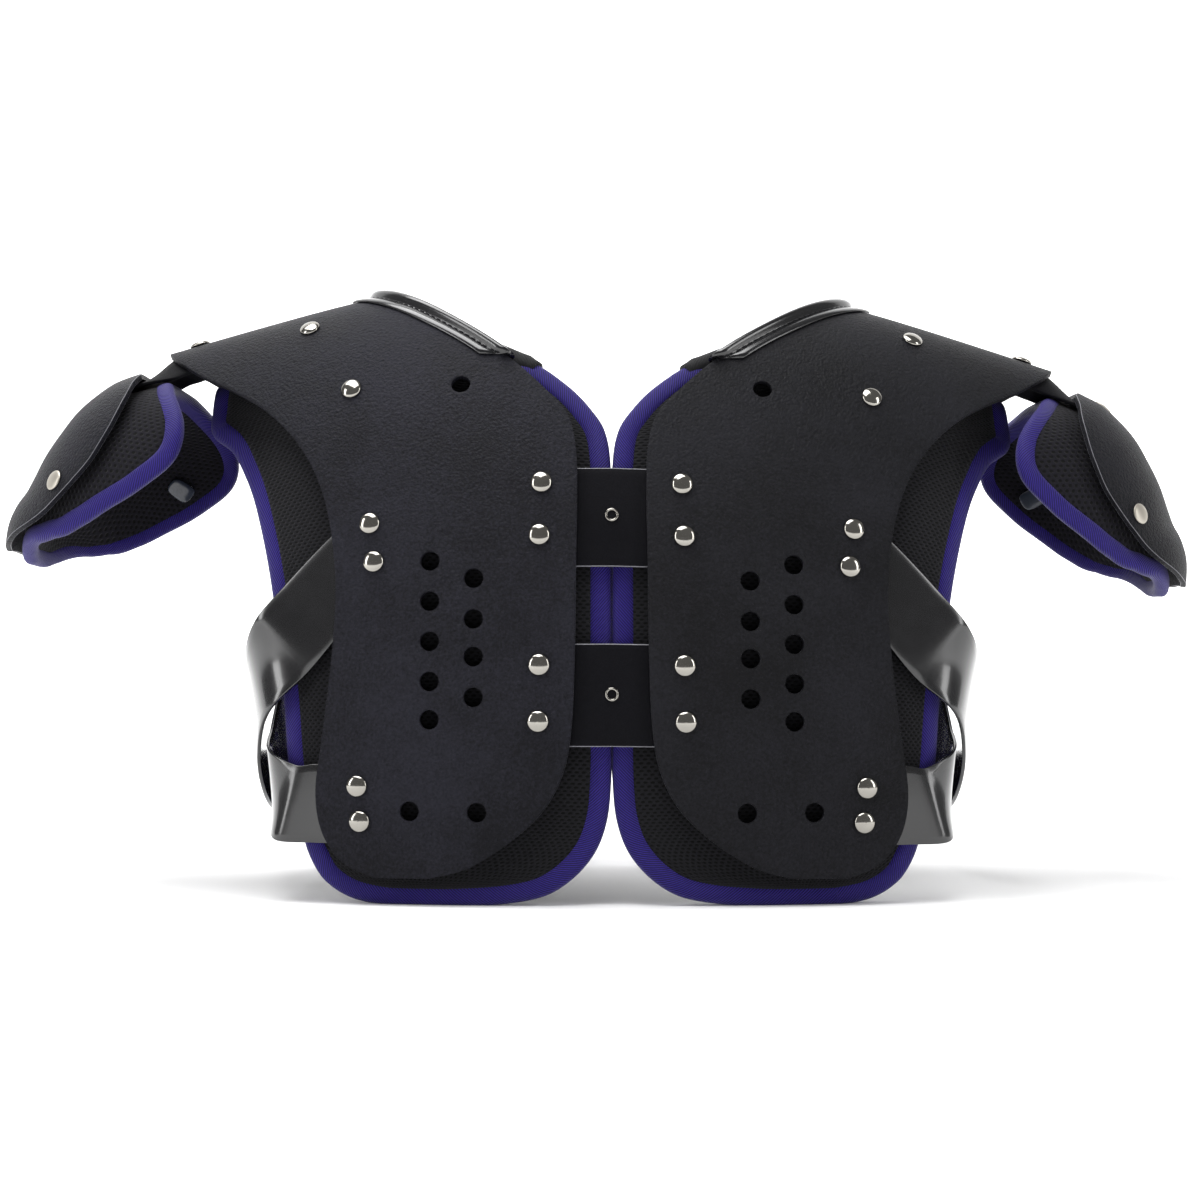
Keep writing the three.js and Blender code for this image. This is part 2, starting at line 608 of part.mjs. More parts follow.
// The bound edge, from the neck round the panels and back to the neck, and the soft roll between its ends.
function addBodyEdges(half) {
  const surface = sunkOf(half);
  const { loop, rows } = bodyLoop();
  const frames = loopFrames(surface, loop, PAD_INSET + PAD_WALL / 2);
  const first = loop.findIndex(([, turn]) => turn >= NECK_TURN);
  const last = rows - 1 - first;
  const bound = [...frames.slice(last), ...frames.slice(0, first + 1)];
  const bead = beadSection(BINDING_WIDTH, BINDING_THICKNESS);
  const floor = new THREE.BoxGeometry(4 * SHOULDER_REACH, 4 * HALF_DEPTH, CREST_HEIGHT);
  floor.translate(0, 0, FLOOR_PRESS - CREST_HEIGHT / 2);
  addPiece("body_binding_" + half.name, cut(sweepGeometry(bound, bead, false), [floor]), MATERIALS.binding);
  const roll = frames.slice(first, last + 1);
  const shortened = (frame, next) => {
    const run = next.at.clone().sub(frame.at).normalize();
    return { ...frame, at: frame.at.clone().addScaledVector(run, 2 * GAP) };
  };
  const ends = [shortened(roll[0], roll[1]), shortened(roll.at(-1), roll.at(-2))];
  const section = beadSection(ROLL_WIDTH, ROLL_THICKNESS, BINDING_WIDTH - ROLL_WIDTH);
  const rolled = sweepGeometry([ends[0], ...roll.slice(1, -1), ends[1]], section, false);
  addPiece("neck_roll_" + half.name, rolled, MATERIALS.roll);
}

// A long flange on the face, a bead past the edge and a short leg below, along the plate's own facets.
function addNeckTrim(half) {
  const arch = archOf(half);
  const { inner, outer } = edgesOf(PLATE_SECTIONS);
  const rows = range(inner.length).filter((row) => inner[row][1] >= TRIM_START && inner[row][1] <= 2 - TRIM_START);
  const frames = rows.map((row) => {
    const at = arch(...inner[row], 0);
    const next = arch(...between(inner[row], outer[row], 1 / PLATE_COLUMNS), 0);
    const inward = next.sub(at).normalize();
    const { normal } = slopesOn(arch, inner[row], 0);
    return { at, inward, normal: normal.addScaledVector(inward, -normal.dot(inward)).normalize() };
  });
  const below = -PLATE_WALL - 2 * GAP;
  const section = [
    [TRIM_FLANGE, GAP],
    [TRIM_FLANGE, GAP + TRIM_WALL],
    [0, TRIM_BEAD],
    [-TRIM_BEAD, TRIM_BEAD / 2],
    [-TRIM_BEAD, below],
    [0, below - TRIM_WALL],
    [TRIM_LEG, below - TRIM_WALL],
    [TRIM_LEG, below],
    [-GAP, below],
    [-GAP, GAP],
  ];
  addPiece("neck_trim_" + half.name, sweepGeometry(frames, section, false), MATERIALS.gloss);
}

// The strap under both plates at a turn of the form, bridging the gap between them.
function centreStrap(turn) {
  const [left, right] = HALVES.map(archOf);
  const turnPerMm = 1 / slopesOn(right, [0, turn], STRAP_INSET).byV.length();
  const place = (row, column, face) => {
    const share = (2 * column) / CENTRE_STRAP_COLUMNS - 1;
    const side = (Math.abs(share) * CENTRE_STRAP_REACH) / SHOULDER_REACH;
    const shift = (row / CENTRE_STRAP_ROWS - 0.5) * CENTRE_STRAP_HEIGHT * turnPerMm;
    return (share < 0 ? left : right)(side, turn + shift, STRAP_INSET + face * STRAP_WALL);
  };
  return sheetGeometry(CENTRE_STRAP_ROWS, CENTRE_STRAP_COLUMNS, place);
}

function addCentreStraps() {
  const centreRivets = PANEL_RIVETS.filter((rivet) => rivet.name.startsWith("centre"));
  const seats = HALVES.flatMap((half) => centreRivets.map((rivet) => seatOn(archOf(half), spotOf(rivet))));
  for (const { name, turn } of CENTRE_STRAPS) {
    const seat = seatOn(archOf(HALVES[1]), [0, turn]);
    seat.at.addScaledVector(seat.normal, -STRAP_INSET);
    const bore = drillAt(seat, BARREL_RADIUS + GAP, ROUND_SIDES);
    addPiece("front_strap_" + name, cut(centreStrap(turn), [...shankHoles(seats), bore]), MATERIALS.strap);
    addPiece("back_strap_" + name, centreStrap(2 - turn), MATERIALS.strap);
    addPiece("eyelet_" + name, eyeletGeometry(), MATERIALS.nickel).applyMatrix4(seatMatrix(seat));
  }
}

// The middle point, outward normal and across direction at each station of a side strap.
function strapFrames(stations, half) {
  const arch = archOf(half);
  const inset = STRAP_INSET + STRAP_WALL / 2;
  const points = stations.map(({ side, turn, fore, rise }) =>
    turn === undefined
      ? new THREE.Vector3(half.hand * side * SHOULDER_REACH, fore * HALF_DEPTH, rise * CREST_HEIGHT)
      : arch(side, turn, inset),
  );
  return stations.map(({ side, turn }, i) => {
    const run = points[Math.min(i + 1, points.length - 1)].clone().sub(points[Math.max(i - 1, 0)]).normalize();
    const aside = new THREE.Vector3(run.y * half.hand, -run.x * half.hand, -SIDE_STRAP_LEAN);
    const normal = turn === undefined ? aside.normalize() : slopesOn(arch, [side, turn], inset).normal;
    const spot = turn === undefined ? null : [side, turn];
    return { at: points[i], spot, normal, across: normal.clone().cross(run) };
  });
}

function addSideStrap({ name, stations }, half) {
  const arch = archOf(half);
  const frames = strapFrames(stations, half);
  const middle = STRAP_INSET + STRAP_WALL / 2;
  const place = (row, column, face) => {
    const { at, spot, normal, across } = frames[row];
    const move = across.clone().setLength((column / SIDE_STRAP_COLUMNS - 0.5) * SIDE_STRAP_WIDTH);
    const depth = (face - 0.5) * STRAP_WALL;
    if (!spot) return at.clone().add(move).addScaledVector(normal, -depth);
    return arch(...slideOn(arch, spot, move, middle), middle + depth);
  };
  const strap = sheetGeometry(frames.length - 1, SIDE_STRAP_COLUMNS, place);
  const rivets = PANEL_RIVETS.filter((rivet) => rivet.name.startsWith("side"));
  const holes = shankHoles(rivets.map((rivet) => seatOn(arch, spotOf(rivet))));
  addPiece("side_strap_" + name + "_" + half.name, cut(strap, holes), MATERIALS.gloss);
}

function addEpauletPlate(half) {
  const surface = epauletOf(half);
  const place = (row, column, face) => {
    const { along, spread } = EPAULET_SECTIONS[row];
    return surface(along, ((2 * column) / EPAULET_COLUMNS - 1) * spread * EPAULET_SWEEP, face * PLATE_WALL);
  };
  const sheet = sheetGeometry(EPAULET_SECTIONS.length - 1, EPAULET_COLUMNS, place);
  const seats = [EPAULET_TOP_RIVET, EPAULET_FRONT_RIVET].map((rivet) => seatOn(surface, spotOf(rivet)));
  addPiece("epaulet_plate_" + half.name, cut(sheet, shankHoles(seats)), MATERIALS.plate);
}

// The outline of the epaulet pad as one loop, down its front edge and up its back edge.
function epauletLoop() {
  const edge = (sign) => EPAULET_PAD_SECTIONS.map(({ along, spread }) => [along, sign * spread * EPAULET_SWEEP]);
  const [front, back] = [edge(-1), edge(1)];
  const top = between(back[0], front[0], 0.5);
  const bottom = between(front.at(-1), back.at(-1), 0.5);
  return { loop: [...front, bottom, ...back.toReversed(), top], rows: front.length };
}

function addEpauletPad(half) {
  const surface = epauletOf(half);
  const middle = PAD_INSET + EPAULET_PAD_WALL / 2;
  const { loop, rows } = epauletLoop();
  const frames = loopFrames(surface, loop, middle);
  const spots = insetSpots(surface, frames, BINDING_WIDTH + EDGE_GAP, middle);
  const [front, back] = [spots.slice(0, rows), spots.slice(rows + 1, 2 * rows + 1).reverse()];
  const pad = padGeometry(surface, front, back, EPAULET_PAD_COLUMNS, EPAULET_PAD_WALL);
  addPiece("epaulet_pad_" + half.name, pad, MATERIALS.mesh);
  const binding = sweepGeometry(frames, beadSection(BINDING_WIDTH, EPAULET_BINDING_THICKNESS), true);
  addPiece("epaulet_binding_" + half.name, binding, MATERIALS.binding);
}

// The short strap from under the arch plate's end to under the epaulet plate.
function addEpauletStrap(half) {
  const [arch, epaulet] = [archOf(half), epauletOf(half)];
  const lines = [
    ...STRAP_SIDES.map((side) => ({ surface: arch, spot: [side, 1], inset: STRAP_INSET })),
    ...STRAP_ALONGS.map((along) => ({ surface: epaulet, spot: [along, 0], inset: STRAP_INSET + GAP })),
  ];
  lines[STRAP_SIDES.length].inset += LAY_GAP; // clear of the epaulet plate's upper rim
  const place = (row, column, face) => {
    const { surface, spot, inset } = lines[row];
    const shift = new THREE.Vector3(0, (column / EPAULET_STRAP_COLUMNS - 0.5) * EPAULET_STRAP_WIDTH, 0);
    return surface(...slideOn(surface, spot, shift, inset), inset + face * STRAP_WALL);
  };
  const strap = sheetGeometry(lines.length - 1, EPAULET_STRAP_COLUMNS, place);
  const holes = shankHoles([seatOn(arch, spotOf(CREST_RIVET)), seatOn(epaulet, spotOf(EPAULET_TOP_RIVET))]);
  addPiece("epaulet_strap_" + half.name, cut(strap, holes), MATERIALS.gloss);
}

// The small plate on the inner face of the epaulet pad, near its back edge.
function addEpauletTab(half) {
  const surface = epauletOf(half);
  const depth = PAD_INSET + EPAULET_PAD_WALL + TAB_GAP;
  const place = (row, column, face) => {
    const along = TAB_SPOT.along + ((row - 0.5) * TAB_WIDTH) / EPAULET_LENGTH;
    const sweep = TAB_SPOT.sweep + ((column - 0.5) * TAB_LENGTH) / (EPAULET_RADIUS - depth);
    return surface(along, sweep, depth + face * STRAP_WALL);
  };
  addPiece("epaulet_tab_" + half.name, sheetGeometry(1, 1, place), MATERIALS.gloss);
}

function addRivets(rivets, surface, half) {
  for (const rivet of rivets) {
    const piece = addPiece("rivet_" + rivet.name + "_" + half.name, rivetGeometry(), MATERIALS.nickel);
    piece.applyMatrix4(seatMatrix(seatOn(surface, spotOf(rivet))));
  }
}

for (const half of HALVES) {
  addArchPlate(half);
  addBodyPad(half);
  addBodyEdges(half);
  addNeckTrim(half);
  for (const strap of SIDE_STRAPS) addSideStrap(strap, half);
  addEpauletPlate(half);
  addEpauletPad(half);
  addEpauletStrap(half);
  addEpauletTab(half);
  addRivets([...PANEL_RIVETS, CREST_RIVET], archOf(half), half);
  addRivets([EPAULET_TOP_RIVET, EPAULET_FRONT_RIVET], epauletOf(half), half);
}
addCentreStraps();

const box = new THREE.Box3().setFromObject(stand, true);
const centre = box.getCenter(new THREE.Vector3());
stand.position.set(-centre.x, -centre.y, -box.min.z);
const shoulderPads = new THREE.Group();
shoulderPads.add(stand);

export default shoulderPads;
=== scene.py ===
"""Football shoulder pads on a pale floor: riveted arch plates over bound mesh pads, with epaulets and straps.

Sizes are in millimetres until a mesh is made. The arch form, which plates, pads and straps share, and the tables
of their edges repeat the solid model's, but the body pads reach up to 11 mm further at the arms, and their binding
is wider. Each shell is a function of two coordinates and a depth below the plate's face.
"""

import logging
import math
from dataclasses import dataclass
from enum import Enum
from typing import NamedTuple, Sequence

import bmesh
import bpy
import numpy as np
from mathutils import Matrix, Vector

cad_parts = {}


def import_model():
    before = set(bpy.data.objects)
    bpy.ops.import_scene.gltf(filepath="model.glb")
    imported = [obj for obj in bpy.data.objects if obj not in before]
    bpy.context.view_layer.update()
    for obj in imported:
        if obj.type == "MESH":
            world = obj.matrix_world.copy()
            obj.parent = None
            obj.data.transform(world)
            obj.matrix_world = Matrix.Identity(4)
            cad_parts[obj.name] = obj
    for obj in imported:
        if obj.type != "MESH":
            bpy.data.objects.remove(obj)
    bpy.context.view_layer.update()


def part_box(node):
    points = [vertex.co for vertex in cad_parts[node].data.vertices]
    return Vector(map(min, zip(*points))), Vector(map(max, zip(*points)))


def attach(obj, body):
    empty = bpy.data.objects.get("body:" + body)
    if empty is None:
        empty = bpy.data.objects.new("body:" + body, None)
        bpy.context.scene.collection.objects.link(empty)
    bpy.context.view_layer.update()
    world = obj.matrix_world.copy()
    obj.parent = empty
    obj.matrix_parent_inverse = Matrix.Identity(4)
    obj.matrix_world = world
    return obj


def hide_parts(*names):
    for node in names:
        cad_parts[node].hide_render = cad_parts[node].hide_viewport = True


LOG = logging.getLogger("shoulder_pads")
MM = 0.001
STEP = 1e-3  # of a surface's coordinates, for slopes
SAMPLES = 8  # per interval of a table of sections
PLATE_WALL = 3.0
STRAP_WALL = 2.0
STRAP_INSET = 3.8
PAD_INSET = 8.1
PAD_WALL = 12.0
EPAULET_PAD_WALL = 10.0
FLOOR_PRESS = 1.5  # how much the bound edge is pressed flat where it stands

Array = np.ndarray
Pair = tuple[Array, Array]
Triple = tuple[Array, Array, Array]
Piece = bpy.types.Object
Material = bpy.types.Material
Socket = bpy.types.NodeSocket


class Grain(Enum):
    """Surface textures of a moulded plastic, each with the strength of its bump."""

    PEBBLE = 0.9
    FINE = 0.4
    SMOOTH = 0.06


class Section(NamedTuple):
    """The two edges of a plate or pad at one level: sides as shares of the reach, and turns of the form."""

    inner_side: float
    inner_turn: float
    outer_side: float
    outer_turn: float


class Spot(NamedTuple):
    """A named place on a surface."""

    name: str
    u: float
    v: float


class Station(NamedTuple):
    """A station of a side strap: on the form by side and turn, or free of it by side, fore and rise."""

    side: float
    turn: float | None = None
    fore: float = 0.0
    rise: float = 0.0


@dataclass(frozen=True)
class Half:
    """One half of the pair, as it hangs in the photograph."""

    name: str
    hand: int
    lower: float  # how much lower its shoulder end hangs, in millimetres
    droop: float  # of its epaulet, in degrees
    roll: float


HALVES = (
    Half("left", hand=-1, lower=0.0, droop=52.8, roll=6.5),
    Half("right", hand=1, lower=9.0, droop=61.0, roll=0.0),
)

PLATE_SECTIONS = tuple(
    Section(*edges)
    for edges in (
        (0.4, 0.031, 0.515, 0.031), (0.315, 0.041, 0.577, 0.043), (0.225, 0.066, 0.618, 0.063),
        (0.15, 0.098, 0.642, 0.09), (0.106, 0.136, 0.648, 0.125), (0.087, 0.185, 0.636, 0.17),
        (0.08, 0.272, 0.614, 0.26), (0.078, 0.365, 0.606, 0.345), (0.076, 0.44, 0.624, 0.43),
        (0.079, 0.51, 0.66, 0.5), (0.098, 0.562, 0.712, 0.562), (0.146, 0.605, 0.782, 0.628),
        (0.235, 0.674, 0.868, 0.697), (0.385, 0.785, 0.943, 0.763), (0.5, 0.9, 1.01, 0.87),
        (0.548, 1.0, 1.035, 1.0),
    )
)

PAD_SECTIONS = tuple(
    Section(*edges)
    for edges in (
        (0.36, 0.0, 0.5, 0.0), (0.22, 0.005, 0.585, 0.008), (0.13, 0.016, 0.645, 0.025),
        (0.057, 0.043, 0.69, 0.052), (0.016, 0.078, 0.718, 0.09), (0.0012, 0.13, 0.746, 0.14),
        (0.0007, 0.24, 0.765, 0.24), (0.0007, 0.37, 0.8, 0.365), (0.0007, 0.48, 0.846, 0.485),
        (0.0125, 0.547, 0.879, 0.552), (0.048, 0.592, 0.911, 0.61), (0.1, 0.638, 0.957, 0.672),
        (0.187, 0.697, 0.96, 0.745), (0.302, 0.752, 0.96, 0.82), (0.42, 0.84, 0.96, 0.9),
        (0.52, 1.0, 0.96, 1.0),
    )
)

VENTS = tuple(
    Spot("vent", side, turn)
    for side, turn in (
        (0.397, 0.365), (0.397, 0.3185), (0.397, 0.274), (0.397, 0.231), (0.397, 0.191),
        (0.301, 0.344), (0.301, 0.298), (0.301, 0.257), (0.301, 0.214), (0.44, 0.098),
        (0.293, 0.097), (0.336, 0.617),
    )
)

PANEL_RIVETS = tuple(
    Spot(*place)
    for place in (
        ("centre_1", 0.154, 0.462), ("centre_2", 0.158, 0.395), ("centre_3", 0.158, 0.248),
        ("centre_4", 0.16, 0.189), ("side_1", 0.532, 0.416), ("side_2", 0.522, 0.368),
        ("side_3", 0.556, 0.124), ("side_4", 0.55, 0.088), ("shoulder_1", 0.583, 0.628),
        ("shoulder_2", 0.692, 0.825), ("crest", 0.965, 1.0),
    )
)
EPAULET_RIVETS = (Spot("epaulet_top", 0.12, 0.0), Spot("epaulet_front", 0.585, -0.83))

SIDE_STRAPS = {
    "upper": tuple(
        Station(*numbers)
        for numbers in (
            (0.475, 0.415), (0.53, 0.388), (0.6, 0.354), (0.67, 0.318), (0.735, 0.282),
            (0.79, None, -0.62, 0.346), (0.81, None, -0.36, 0.276), (0.814, None, -0.04, 0.212),
            (0.808, None, 0.3, 0.175), (0.79, None, 0.6, 0.16), (0.75, 1.893), (0.67, 1.894), (0.6, 1.894),
            (0.53, 1.894), (0.475, 1.894),
        )
    ),
    "lower": tuple(
        Station(*numbers)
        for numbers in (
            (0.48, 0.106), (0.53, 0.106), (0.6, 0.106), (0.66, 0.107), (0.725, 0.109),
            (0.756, None, -0.62, 0.186), (0.76, None, -0.36, 0.222), (0.762, None, -0.02, 0.29),
            (0.77, None, 0.3, 0.352), (0.782, None, 0.56, 0.396), (0.76, 1.722), (0.67, 1.682),
            (0.6, 1.646), (0.53, 1.612), (0.475, 1.585),
        )
    ),
}

EPAULET_CREST = (  # along and height, both as shares of the epaulet's length
    (-0.2, -0.14), (-0.1, -0.07), (0.0, 0.0), (0.1, 0.065), (0.2, 0.1), (0.3, 0.122),
    (0.42, 0.125), (0.55, 0.118), (0.66, 0.098), (0.72, 0.088), (0.8, 0.086), (0.88, 0.068),
    (1.0, 0.0), (1.1, -0.07),
)
EPAULET_SPREAD = (  # along, and half the width as a share of its sweep
    (0.0, 0.377), (0.04, 0.546), (0.1, 0.736), (0.2, 0.883), (0.3, 0.969), (0.42, 1.0),
    (0.55, 0.969), (0.66, 0.897), (0.72, 0.852), (0.8, 0.787), (0.88, 0.648), (0.95, 0.45),
    (1.0, 0.185),
)
EPAULET_PAD_SPREAD = (  # the same of its pad
    (-0.1, 0.4), (-0.05, 0.84), (0.03, 1.16), (0.13, 1.36), (0.25, 1.43), (0.4, 1.37),
    (0.55, 1.24), (0.67, 1.1), (0.78, 0.92), (0.87, 0.75), (0.96, 0.5), (1.05, 0.17),
)
EPAULET_STRAP_SIDES = (0.885, 0.925, 0.965, 1.0, 1.03)  # under the arch plate
EPAULET_STRAP_ALONG = (0.0, 0.06, 0.12, 0.18, 0.24)  # under the epaulet plate

TRIM_BELOW = -PLATE_WALL - 0.4
TRIM_SECTION = (  # inward from the plate's edge and out from its face: flange, groove, bead, and the leg below
    (14.0, 0.15), (14.3, 0.7), (13.6, 1.3), (10.5, 1.5), (6.6, 1.3), (5.8, 0.75), (5.0, 0.7),
    (4.3, 1.3), (3.2, 3.0), (1.2, 4.1), (-1.2, 4.0), (-3.2, 2.6), (-4.1, 0.4), (-4.0, -2.0),
    (-2.8, TRIM_BELOW - 0.7), (0.0, TRIM_BELOW - 1.2), (7.0, TRIM_BELOW - 1.2), (7.0, TRIM_BELOW),
    (-0.3, TRIM_BELOW), (-0.3, 0.15),
)
TRIM_GROOVE = (5.4, 0.95)  # where the stitches lie, inward and out
TAB_LEVELS = (  # share of the tab's outline, and height
    (0.02, 2.6), (0.5, 2.5), (0.85, 2.2), (0.97, 1.7), (1.0, 1.2), (1.0, 0.3), (0.97, 0.0), (0.02, 0.0),
)
LIGHTS = (  # name, place and size in metres, and watts
    ("top_box", (-0.35, -0.25, 1.9), (1.8, 1.2), 48),
    ("left_box", (-1.7, -0.9, 0.8), (0.4, 1.4), 12),
    ("right_box", (1.7, -0.9, 0.8), (0.4, 1.4), 10),
)


def unit(vectors: Array) -> Array:
    """Vectors of length 1: v / |v|, over the last axis."""
    return vectors / np.maximum(np.linalg.norm(vectors, axis=-1, keepdims=True), 1e-12)


def smoothstep(x: Array, low: float, high: float) -> Array:
    """0 below low, 1 above high, and 3t^2 - 2t^3 between them."""
    t = np.clip((x - low) / (high - low), 0.0, 1.0)
    return t * t * (3 - 2 * t)


def smooth_line(points: Array, samples: int = SAMPLES) -> Array:
    """Samples a uniform Catmull-Rom curve through points.

    p(t) = (2b + (c - a)t + (2a - 5b + 4c - d)t^2 + (3b - a - 3c + d)t^3) / 2 between b and c.

    Args:
        points: the points, one a row.
        samples: how many samples each interval gets.

    Returns:
        The samples, one a row, ending on the last point.
    """
    around = np.vstack([points[:1], points, points[-1:]])
    at = np.linspace(0, len(points) - 1, (len(points) - 1) * samples + 1)
    i = np.minimum(at.astype(int), len(points) - 2)
    t = (at - i)[:, None]
    a, b, c, d = (around[i + k] for k in range(4))
    return (2 * b + (c - a) * t + (2 * a - 5 * b + 4 * c - d) * t**2 + (3 * b - a - 3 * c + d) * t**3) / 2


class Surface:
    """A surface of two coordinates with layers below it: point(u, v) - depth * normal(u, v)."""

    hand: int = 1

    def place(self, u: Array, v: Array) -> Array:
        """Points on the surface itself, in millimetres."""
        raise NotImplementedError

    def slopes(self, u: Array, v: Array, depth: Array | float = 0.0) -> Triple:
        """Central differences by u and v, and the outward normal hand * (du x dv) / |du x dv|.

        Args:
            u: first coordinate.
            v: second coordinate.
            depth: the layer's depth.

        Returns:
            The slope by each coordinate, and the normal.
        """
        by_u = (self.at(u + STEP, v, depth) - self.at(u - STEP, v, depth)) / (2 * STEP)
        by_v = (self.at(u, v + STEP, depth) - self.at(u, v - STEP, depth)) / (2 * STEP)
        return by_u, by_v, self.hand * unit(np.cross(by_u, by_v))

    def at(self, u: Array, v: Array, depth: Array | float = 0.0) -> Array:
        """Points at a depth below the surface: place(u, v) - depth * normal(u, v).

        Args:
            u: first coordinate.
            v: second coordinate.
            depth: how far below, in millimetres.

        Returns:
            The points.
        """
        u, v = np.broadcast_arrays(np.asarray(u, float), np.asarray(v, float))
        if isinstance(depth, float) and depth == 0.0:
            return self.place(u, v)
        by_u = self.place(u + STEP, v) - self.place(u - STEP, v)
        by_v = self.place(u, v + STEP) - self.place(u, v - STEP)
        normal = self.hand * unit(np.cross(by_u, by_v))
        return self.place(u, v) - normal * np.asarray(depth, float)[..., None]

    def slide(self, u: Array, v: Array, move: Array, depth: float) -> Pair:
        """Coordinates reached by sliding over a layer by a vector.

        Each of three short moves solves the two equations of the slopes' dot products with the move.

        Args:
            u: first coordinate of where to start.
            v: second coordinate of where to start.
            move: the vectors to slide by.
            depth: the layer's depth.

        Returns:
            The two coordinates.
        """
        moves = 3
        for _ in range(moves):
            by_u, by_v, _normal = self.slopes(u, v, depth)
            uu, uv, vv = (by_u * by_u).sum(-1), (by_u * by_v).sum(-1), (by_v * by_v).sum(-1)
            mu, mv = (by_u * move).sum(-1) / moves, (by_v * move).sum(-1) / moves
            whole = uu * vv - uv * uv
            u, v = u + (vv * mu - uv * mv) / whole, v + (uu * mv - uv * mu) / whole
        return u, v


@dataclass
class ArchForm(Surface):
    """The form over one shoulder, by side (share of its reach) and turn (0 front foot, 1 crest, 2 back foot).

    Its crest falls from fall_start outward, by fall a millimetre, and its depth shrinks by wrap at the end.
    """

    half: Half
    reach: float = 232.0
    crest: float = 326.0
    fall: float = 0.292
    fall_start: float = 118.0
    fall_round: float = 30.0
    depth: float = 118.0
    wrap: float = 44.0

    def __post_init__(self) -> None:
        """Takes the hand of its half."""
        self.hand = self.half.hand

    def place(self, u: Array, v: Array) -> Array:
        """x = side * reach, z = crest(x) * h, y = -+depth(side) * sqrt(1 - h^3), with h = sin(turn * 90 deg)."""
        x = u * self.reach
        past = x - self.fall_start
        fall = self.fall * (past + np.hypot(past, self.fall_round)) / 2 + self.half.lower * u
        rise = np.sin(v * math.pi / 2)
        depth = (self.depth - self.wrap * u * u) * np.sqrt(np.maximum(0, 1 - rise**3))
        return np.stack([self.hand * x, np.where(v < 1, -depth, depth), (self.crest - fall) * rise], -1)


@dataclass
class SunkForm(Surface):
    """The arch form with its shoulder end lowered, where the body pad hangs clear of the plate."""

    arch: ArchForm
    sink: float = 15.0
    start: float = 0.65
    end: float = 0.95

    def __post_init__(self) -> None:
        """Takes the hand of its arch."""
        self.hand = self.arch.hand

    def place(self, u: Array, v: Array) -> Array:
        """The arch's layer at a depth of sink * smoothstep(side)."""
        return self.arch.at(u, v, self.sink * smoothstep(u, self.start, self.end))


@dataclass
class EpauletForm(Surface):
    """The cupped form of an epaulet, by along (share of its length) and sweep (angle from its crest line).

    It starts out and down from the arch plate's end.
    """

    arch: ArchForm
    length: float = 120.0
    radius: float = 80.0
    sweep: float = 1.016
    out: float = 13.0
    down: float = 12.0

    def __post_init__(self) -> None:
        """Works out the axes of the epaulet from the way it droops and rolls."""
        half = self.arch.half
        self.hand = half.hand
        droop, roll = math.radians(half.droop), math.radians(half.roll)
        outward = np.array([self.hand * math.sin(droop), 0, math.cos(droop)])
        back = np.array([0.0, 1.0, 0.0])
        self.run = np.array([self.hand * math.cos(droop), 0, -math.sin(droop)])
        self.up = outward * math.cos(roll) + back * math.sin(roll)
        self.across = back * math.cos(roll) - outward * math.sin(roll)
        tip = self.arch.place(np.array(PLATE_SECTIONS[-1].outer_side), np.array(1.0))
        self.root = tip + np.array([self.hand * self.out, 0, -self.down])

    def crest_height(self, along: Array) -> Array:
        """The crest table's height by cubic Hermite pieces: h00 a + h10 w a' + h01 b + h11 w b'.

        Args:
            along: where, as shares of the length.

        Returns:
            Heights as shares of the length.
        """
        at, height = np.array(EPAULET_CREST).T
        slope = np.gradient(height, at)
        i = np.clip(np.searchsorted(at, along) - 1, 0, len(at) - 2)
        width = at[i + 1] - at[i]
        t = (along - at[i]) / width
        first = (1 + 2 * t) * (1 - t) ** 2 * height[i] + t * (1 - t) ** 2 * width * slope[i]
        return first + t * t * (3 - 2 * t) * height[i + 1] + t * t * (t - 1) * width * slope[i + 1]

    def place(self, u: Array, v: Array) -> Array:
        """root + along * run + R sin(sweep) * across + (crest(along) - R (1 - cos(sweep))) * up."""
        height = self.crest_height(u) * self.length - self.radius * (1 - np.cos(v))
        return (
            self.root
            + (u * self.length)[..., None] * self.run
            + (self.radius * np.sin(v))[..., None] * self.across
            + height[..., None] * self.up
        )


def edges_of(sections: Sequence[Section], samples: int = SAMPLES) -> Pair:
    """Both edges of a table of sections over the crest to the back.

    Args:
        sections: the sections from the front foot to the crest.
        samples: how many samples each interval gets.

    Returns:
        Inner and outer edge, each with a row of side and turn for every sample.
    """
    table = np.array(sections)
    mirrored = table[:-1][::-1] * [1, -1, 1, -1] + [0, 2, 0, 2]
    smooth = smooth_line(np.vstack([table, mirrored]), samples)
    return smooth[:, :2], smooth[:, 2:]


def arc_lengths(line: Array) -> Array:
    """Length along a line of points up to each of them, as running sums of |p(i+1) - p(i)|."""
    return np.concatenate([[0], np.cumsum(np.linalg.norm(np.diff(line, axis=0), axis=-1))])


